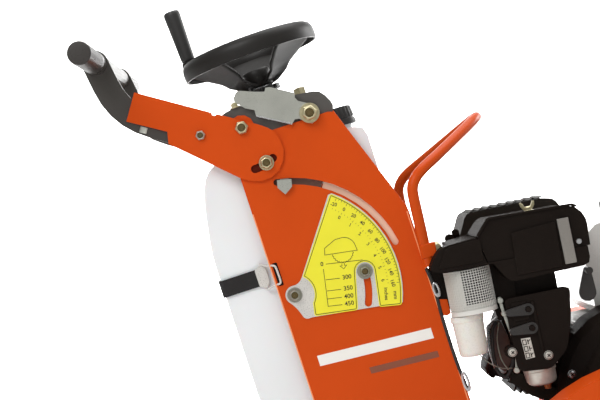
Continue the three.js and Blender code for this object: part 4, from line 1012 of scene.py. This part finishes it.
def build_rocker_cover():
    """Pressed cover on the cylinder head, with the leads and linkage that hang beside it."""
    head = CHASSIS.inside(ENGINE_X, 0, ENGINE_Z, Matrix.Rotation(math.radians(25), 4, "Y"))
    rings = []
    for x, inset in ((-186, 0), (-190, 0), (-197, 3), (-199, 7)):
        y1, y2, z1, z2 = -46 + inset, 50 - inset, -48 + inset, 48 - inset
        r = 9
        ring = []
        for cy, cz, start in ((y2 - r, z2 - r, 0), (y1 + r, z2 - r, 90), (y1 + r, z1 + r, 180),
                              (y2 - r, z1 + r, 270)):
            ring += [(x, *polar(r, start + 22.5 * k, cy, cz)) for k in range(5)]
        rings.append(ring)
    piece("rocker_cover", made(loft, rings), head, "engine_black", bevel=0.8)
    shade = rounded([(290, 374, 4), (304, 377, 4), (311, 350, 4), (309, 318, 4), (297, 304, 4),
                     (288, 312, 6), (286, 342, 6)])
    piece("plug_shroud", made(slab, shade, -104, -94), CHASSIS, "brown_shade", bevel=1.0)
    shade = rounded([(283, 372, 4), (304, 384, 4), (312, 350, 4), (310, 318, 4), (297, 300, 4),
                     (283, 308, 6), (280, 342, 6)])
    piece("plug_shroud_rim", made(slab, shade, -93.6, -90), CHASSIS, "steel", bevel=0.8)
    loop = [(297, -112, 377), (288.4, -112, 366), (284.1, -112, 338), (284.6, -112, 311),
            (294, -112, 298.6), (304, -112, 308), (311, -112, 324)]
    piece("plug_lead", made(sweep, smooth_line(loop, 6), circle(2.6, 12)), CHASSIS, "rubber",
          angle=60)
    bm = bmesh.new()
    wire = [(262, -132, 341), (266, -131, 334), (276.3, -130, 322.9), (290.4, -128, 314.1),
            (304, -124, 311)]
    sweep(bm, smooth_line(wire, 6), circle(0.8, 8))
    inner = [(300, -113, 376), (293, -113, 352), (293, -113, 326), (300, -113, 308)]
    sweep(bm, smooth_line(inner, 6), circle(0.9, 8))
    piece("control_wires", bm, CHASSIS, "dull_zinc", angle=60)
    bm = bmesh.new()
    link = [(301.6, 415), (302.6, 402), (303.8, 391.6), (307, 371.1), (310.4, 352), (309.4, 330),
            (305, 309)]
    band(bm, link, 4.2, -161, -159)
    for x, z in ((302.2, 410), (303.8, 391.6), (305.4, 312)):
        revolve(bm, boss(3.6, 4.2, -163.4, -162.4, -158.4), (x, 0, z), "Y", 20)
    piece("governor_link", bm, CHASSIS, "zinc", bevel=0.4)


def build_muffler_details():
    """Louvres and beads on the muffler's guard, and two small knobs at its rear."""
    bm = bmesh.new()
    for i in range(9):
        x = 306 + i * 13
        slab(bm, [(x, 531.4), (x + 6, 534.2), (x + 7, 533), (x + 1, 530.6)], 22, 116)
    piece("muffler_louvres", bm, CHASSIS, "black_coat", bevel=0.3)
    bm = bmesh.new()
    for z in (448, 476):
        block(bm, 281.4, 283.4, 24, 112, z, z + 8)
        block(bm, 300, 424, 11.6, 14.4, z, z + 8)
    piece("muffler_beads", bm, CHASSIS, "black_coat", bevel=0.9)
    bm = bmesh.new()
    slab(bm, rounded([(262, 486, 3), (284, 486, 1), (284, 508, 1), (276, 508, 3)]), 16, 26)
    revolve(bm, boss(6.4, 7, 12, 13, 26), (268.5, 0, 498.6), "Y", 24)
    revolve(bm, boss(4.4, 5, 12, 13, 26), (278.6, 0, 506), "Y", 24)
    piece("guard_clips", bm, CHASSIS, "engine_black", bevel=0.8)


def build_recoil_details():
    """A vent ring, three screws and the pull handle's grip over the recoil starter."""
    bm = bmesh.new()
    revolve(bm, [(24, -173.4), (40, -173.4), (41, -172.2), (40, -171.4), (24, -171.4)],
            (ENGINE_X, 0, ENGINE_Z), closed=True)
    for i in range(24):
        vane = [polar(46, i * 15, ENGINE_X, ENGINE_Z), polar(68, i * 15 + 8, ENGINE_X, ENGINE_Z)]
        band(bm, vane, 2.0, -172.6, -166)
    piece("recoil_vents", bm, CHASSIS, "black_plastic")
    for i in range(3):
        x, z = polar(98, 40 + 120 * i, ENGINE_X, ENGINE_Z)
        cap_screw(f"recoil_screw_{i}", x, z, -133.6, 6, "steel")
    profile = [(0, 519), (9, 519), (10.6, 522), (9.6, 538), (10.6, 554), (9, 557), (0, 557)]
    piece("pull_handle", made(revolve, profile, (0, -158, 332), "X", 24), CHASSIS, "rubber")


def build_edge_fittings():
    """Pad, tab, cable and its two bright ends along the console's front edge."""
    pad = rounded([(203.5, 330, 1), (227.5, 317, 3), (226, 300, 2), (219, 260, 2), (212.5, 258, 1),
                   (205, 284, 1), (203.5, 310, 1)])
    piece("edge_pad", made(slab, pad, -133.6, -116), CONSOLE, "engine_black", bevel=1.0)
    outline = rounded([(209, 284, 1), (220, 280.5, 1), (218.6, 260, 2), (208.4, 259.4, 2)])
    piece("edge_tab", made(slab, outline, -136.4, -133.8), CONSOLE, "orange", bevel=0.6)
    cable = [(206, -135, 330), (208, -136, 300), (206.4, -135.4, 270), (205.6, -135, 248),
             (205.4, -135, 205), (206.4, -135, 175), (208, -135, 152)]
    path = smooth_line(cable, 5)
    piece("edge_cable", made(sweep, path, circle(2.5, 12)), CONSOLE, "rubber", angle=60)
    for i, (u, v, half) in enumerate(((209.8, 298, 9.5), (209, 164, 13))):
        bm = bmesh.new()
        ring = [(u + 3.4 * math.cos(a), -137.6, v + half * math.sin(a))
                for a in (2 * math.pi * k / 24 for k in range(24))]
        sweep(bm, ring, circle(1.9, 8), closed=True)
        revolve(bm, boss(2.6, 3, -139.4, -138.8, -135), (u + 0.5, 0, v - half + 1.5), "Y", 20)
        piece(f"edge_clip_{i}", bm, CONSOLE, "steel")


# ---- wheels, blade and drive


def build_tyres():
    """Rear tyres with rounded shoulders and a ring of tread grooves."""
    for name, _ in SIDES:
        low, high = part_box(f"rear_tyre_{name}")
        centre = (low + high) / 2
        half = (high.y - low.y) / 2 / MM - 0.2
        profile = [(60.4, -half + 5), (66, -half + 1.6), (84, -half), (93, -half + 2.4),
                   (98, -half + 9), (99.4, -4), (99.4, 4), (98, half - 9), (93, half - 2.4),
                   (84, half), (66, half - 1.6), (60.4, half - 5)]
        rings = []
        for i in range(120):
            a = 2 * math.pi * i / 120
            notch = 2.2 if i % 5 == 0 else 0.0
            ring = []
            for radius, y in profile:
                r = radius - (notch if radius > 90 else 0)
                ring.append((r * math.cos(a), y, r * math.sin(a)))
            rings.append(ring)
        piece(f"tyre_{name}", made(loft, rings, closed=True), Place(centre, 0), "rubber",
              f"rear_wheel_{name}", angle=45, replaces=[f"rear_tyre_{name}"])


def build_blade():
    """Steel core with gullets and a ring of diamond segments."""
    centre = node_middle("saw_blade")
    count = 24
    outline = []
    for i in range(count):
        start = i * 360 / count
        outline += arc(CORE_RADIUS, start + 0.9, start + 14.1, 6)
        outline += [polar(GULLET_RADIUS, start + 14.4), polar(194.6, start + 15),
                    polar(GULLET_RADIUS, start + 15.6)]
    bore = arc(12.3, 0, 360 * (len(outline) - 1) / len(outline), len(outline) - 1)
    edges = (bore, -1.5), (outline, -1.5), (outline, 1.5), (bore, 1.5)
    rings = [[(x, y, z) for x, z in ring] for ring, y in edges]
    piece("blade_core", made(loft, rings, closed=True), Place(centre, 0), "blade", "blade",
          angle=40, replaces=["saw_blade"])
    bm = bmesh.new()
    for i in range(count):
        start = i * 360 / count
        ring = arc(224.6, start + 1.1, start + 13.9, 6) + arc(215.6, start + 13.9, start + 1.1, 6)
        slab(bm, ring, -1.6, 1.6)
    piece("blade_segments", bm, Place(centre, 0), "segment", "blade", bevel=0.3)


def build_axle_ends():
    """Nuts on both axles, on the blade shaft and on the depth frame's pivots."""
    for name, side in SIDES:
        bolt(f"rear_axle_nut_{name}", CHASSIS, 0, 0, side * 206, "body", 24, "zinc", 16, 12, side)
        centre = node_middle(f"front_wheel_{name}")
        place = Place(Vector((centre.x, 0, centre.z)), 0)
        bolt(f"front_axle_nut_{name}", place, 0, 0, side * 193, "depth_frame", 20, "zinc", 14, 8,
             side)
    bolt("blade_nut", CHASSIS, 456, 55, -245.4, "blade", 30, "steel", 20, 0)
    for name, side in SIDES:
        bolt(f"frame_pivot_nut_{name}", CHASSIS, 81, 14.7, side * 139.6, "depth_frame", 26, "zinc",
             18, 14, side)


def build_chassis_bolts():
    """Engine bolts on the deck and screws in the belt guard."""
    for i, (x, y) in enumerate(((394, -54), (566, -54), (394, 88), (566, 88))):
        bm = bmesh.new()
        upright_nut(bm, x, y, 134, 9.4, 0, 9, 12)
        piece(f"engine_bolt_{i}", bm, CHASSIS, "zinc", bevel=0.5)
    for i, (x, z) in enumerate(((456, 150), (475, 168), (400, 55), (512, 55), (470, 320))):
        cap_screw(f"belt_guard_screw_{i}", x, z, 252, 7.5, "zinc", 1)


def build_spindle_thread():
    """A helical ridge on the lower spindle."""
    pitch, steps, radius = 5.0, 14, 7.6
    low, high = -792, -560
    turns = (high - low) / pitch
    path = []
    for i in range(int(turns * steps) + 1):
        a = 2 * math.pi * i / steps
        path.append((radius * math.cos(a), radius * math.sin(a), low + pitch * i / steps))
    piece("spindle_thread", made(sweep, path, rect(-1.1, 1.1, -1.1, 1.1), up=Vector((0, 0, 1))),
          SPINDLE, "steel", "wheel_and_spindle", angle=20)


def build_hose():
    """Water hose along the deck to the blade guard, with its fitting."""
    route = [(92, -90, 148), (120, -92, 140), (170, -94, 131), (300, -94, 129), (360, -98, 130),
             (392, -118, 136), (400, -150, 156), (401, -178, 184), (401, -192, 190),
             (401, -200.8, 190)]
    path = smooth_line(route, 6)
    piece("hose_tube", made(sweep, path, circle(5.8, 16), up=Vector((0, 0.2, 1)).normalized()),
          CHASSIS, "rubber", angle=60, replaces=["water_hose"])
    profile = [(6, -196), (8.6, -196), (9, -195), (9, -190), (8.4, -189), (6, -189)]
    piece("hose_fitting", made(revolve, profile, (401, 0, 190), "Y", 24, closed=True), CHASSIS,
          "steel")


# ---- stage


def build_camera():
    """Level view from the machine's right, square to its side."""
    bar = bar_centre()
    ahead, below, reach = 0.2847, 0.1891, 2.135
    data = bpy.data.cameras.new("camera")
    data.lens, data.sensor_width = 86.5, 36
    data.clip_start, data.clip_end = 0.05, 60
    camera = add_object("camera", data)
    camera.location = (bar.x + ahead, -reach, bar.z - below)
    camera.rotation_euler = (math.radians(90), 0, 0)
    bpy.context.scene.camera = camera


def build_stage():
    """A pale floor that curves up into a backdrop."""
    paper, tree, bsdf = shader("studio_paper")
    tree.links.new(ramp(tree, noise(tree, 2.0), (0.93, 0.93, 0.925), (0.95, 0.95, 0.945)),
                   bsdf.inputs["Base Color"])
    bsdf.inputs["Roughness"].default_value = 0.9
    bm = bmesh.new()
    front, depth, bend, top, half = -8, 4.0, 2.0, 9.0, 14
    line = [(front, 0.0), (depth, 0.0)]
    line += [(depth + bend * math.sin(a), bend - bend * math.cos(a))
             for a in (math.pi / 2 * i / 12 for i in range(1, 13))]
    line += [(depth + bend, top)]
    rows = [[bm.verts.new((x, y, z)) for y, z in line] for x in (-half, half)]
    for i in range(len(line) - 1):
        bm.faces.new((rows[0][i], rows[1][i], rows[1][i + 1], rows[0][i + 1]))
    mesh = bpy.data.meshes.new("backdrop")
    bm.to_mesh(mesh)
    bm.free()
    mesh.shade_smooth()
    mesh.materials.append(paper)
    floor = add_object("backdrop", mesh)


KEY, TOP, BACK, RIM = 46, 56, 420, 30  # watts


def area_light(name, where, target, size, power):
    data = bpy.data.lights.new(name, "AREA")
    data.shape = "RECTANGLE"
    data.size, data.size_y = size
    data.energy = power
    light = add_object(name, data)
    light.location = where
    light.rotation_euler = (Vector(target) - Vector(where)).to_track_quat("-Z", "Y").to_euler()


def build_lights():
    """A grey-white world, a key, a top and a rim light, and one on the backdrop."""
    world = bpy.data.worlds.new("studio")
    bpy.context.scene.world = world
    world.use_nodes = True
    sky = world.node_tree.nodes["Background"].inputs
    sky["Color"].default_value = (1, 0.995, 0.985, 1)
    sky["Strength"].default_value = 0.5
    area_light("key", (-1.6, -2.4, 2.6), (0, 0, 0.7), (1.8, 1.4), KEY)
    area_light("top", (0.2, 0.3, 3.2), (0, 0, 0.5), (2.6, 2.2), TOP)
    area_light("back", (0.6, 3.2, 1.6), (0, 5.5, 1.0), (5.0, 2.0), BACK)
    area_light("rim", (2.0, 1.6, 1.9), (0, 0, 0.7), (1.2, 1.2), RIM)


for build in (build_camera, build_stage, build_lights, dress_kept_nodes, build_grips,
              build_handle_details, build_handwheel, build_knob, build_hub_details,
              build_lever_details, build_label, build_scale_hardware, build_slot_strips,
              build_console_decal, build_tank_cap, build_strap, build_bail, build_screen,
              build_dust_cup, build_air_cleaner_details, build_control_panel, build_rocker_cover,
              build_muffler_details, build_recoil_details, build_edge_fittings, build_tyres,
              build_blade, build_axle_ends, build_chassis_bolts, build_spindle_thread,
              build_hose):
    build()
bpy.context.scene.view_settings.view_transform = "Standard"
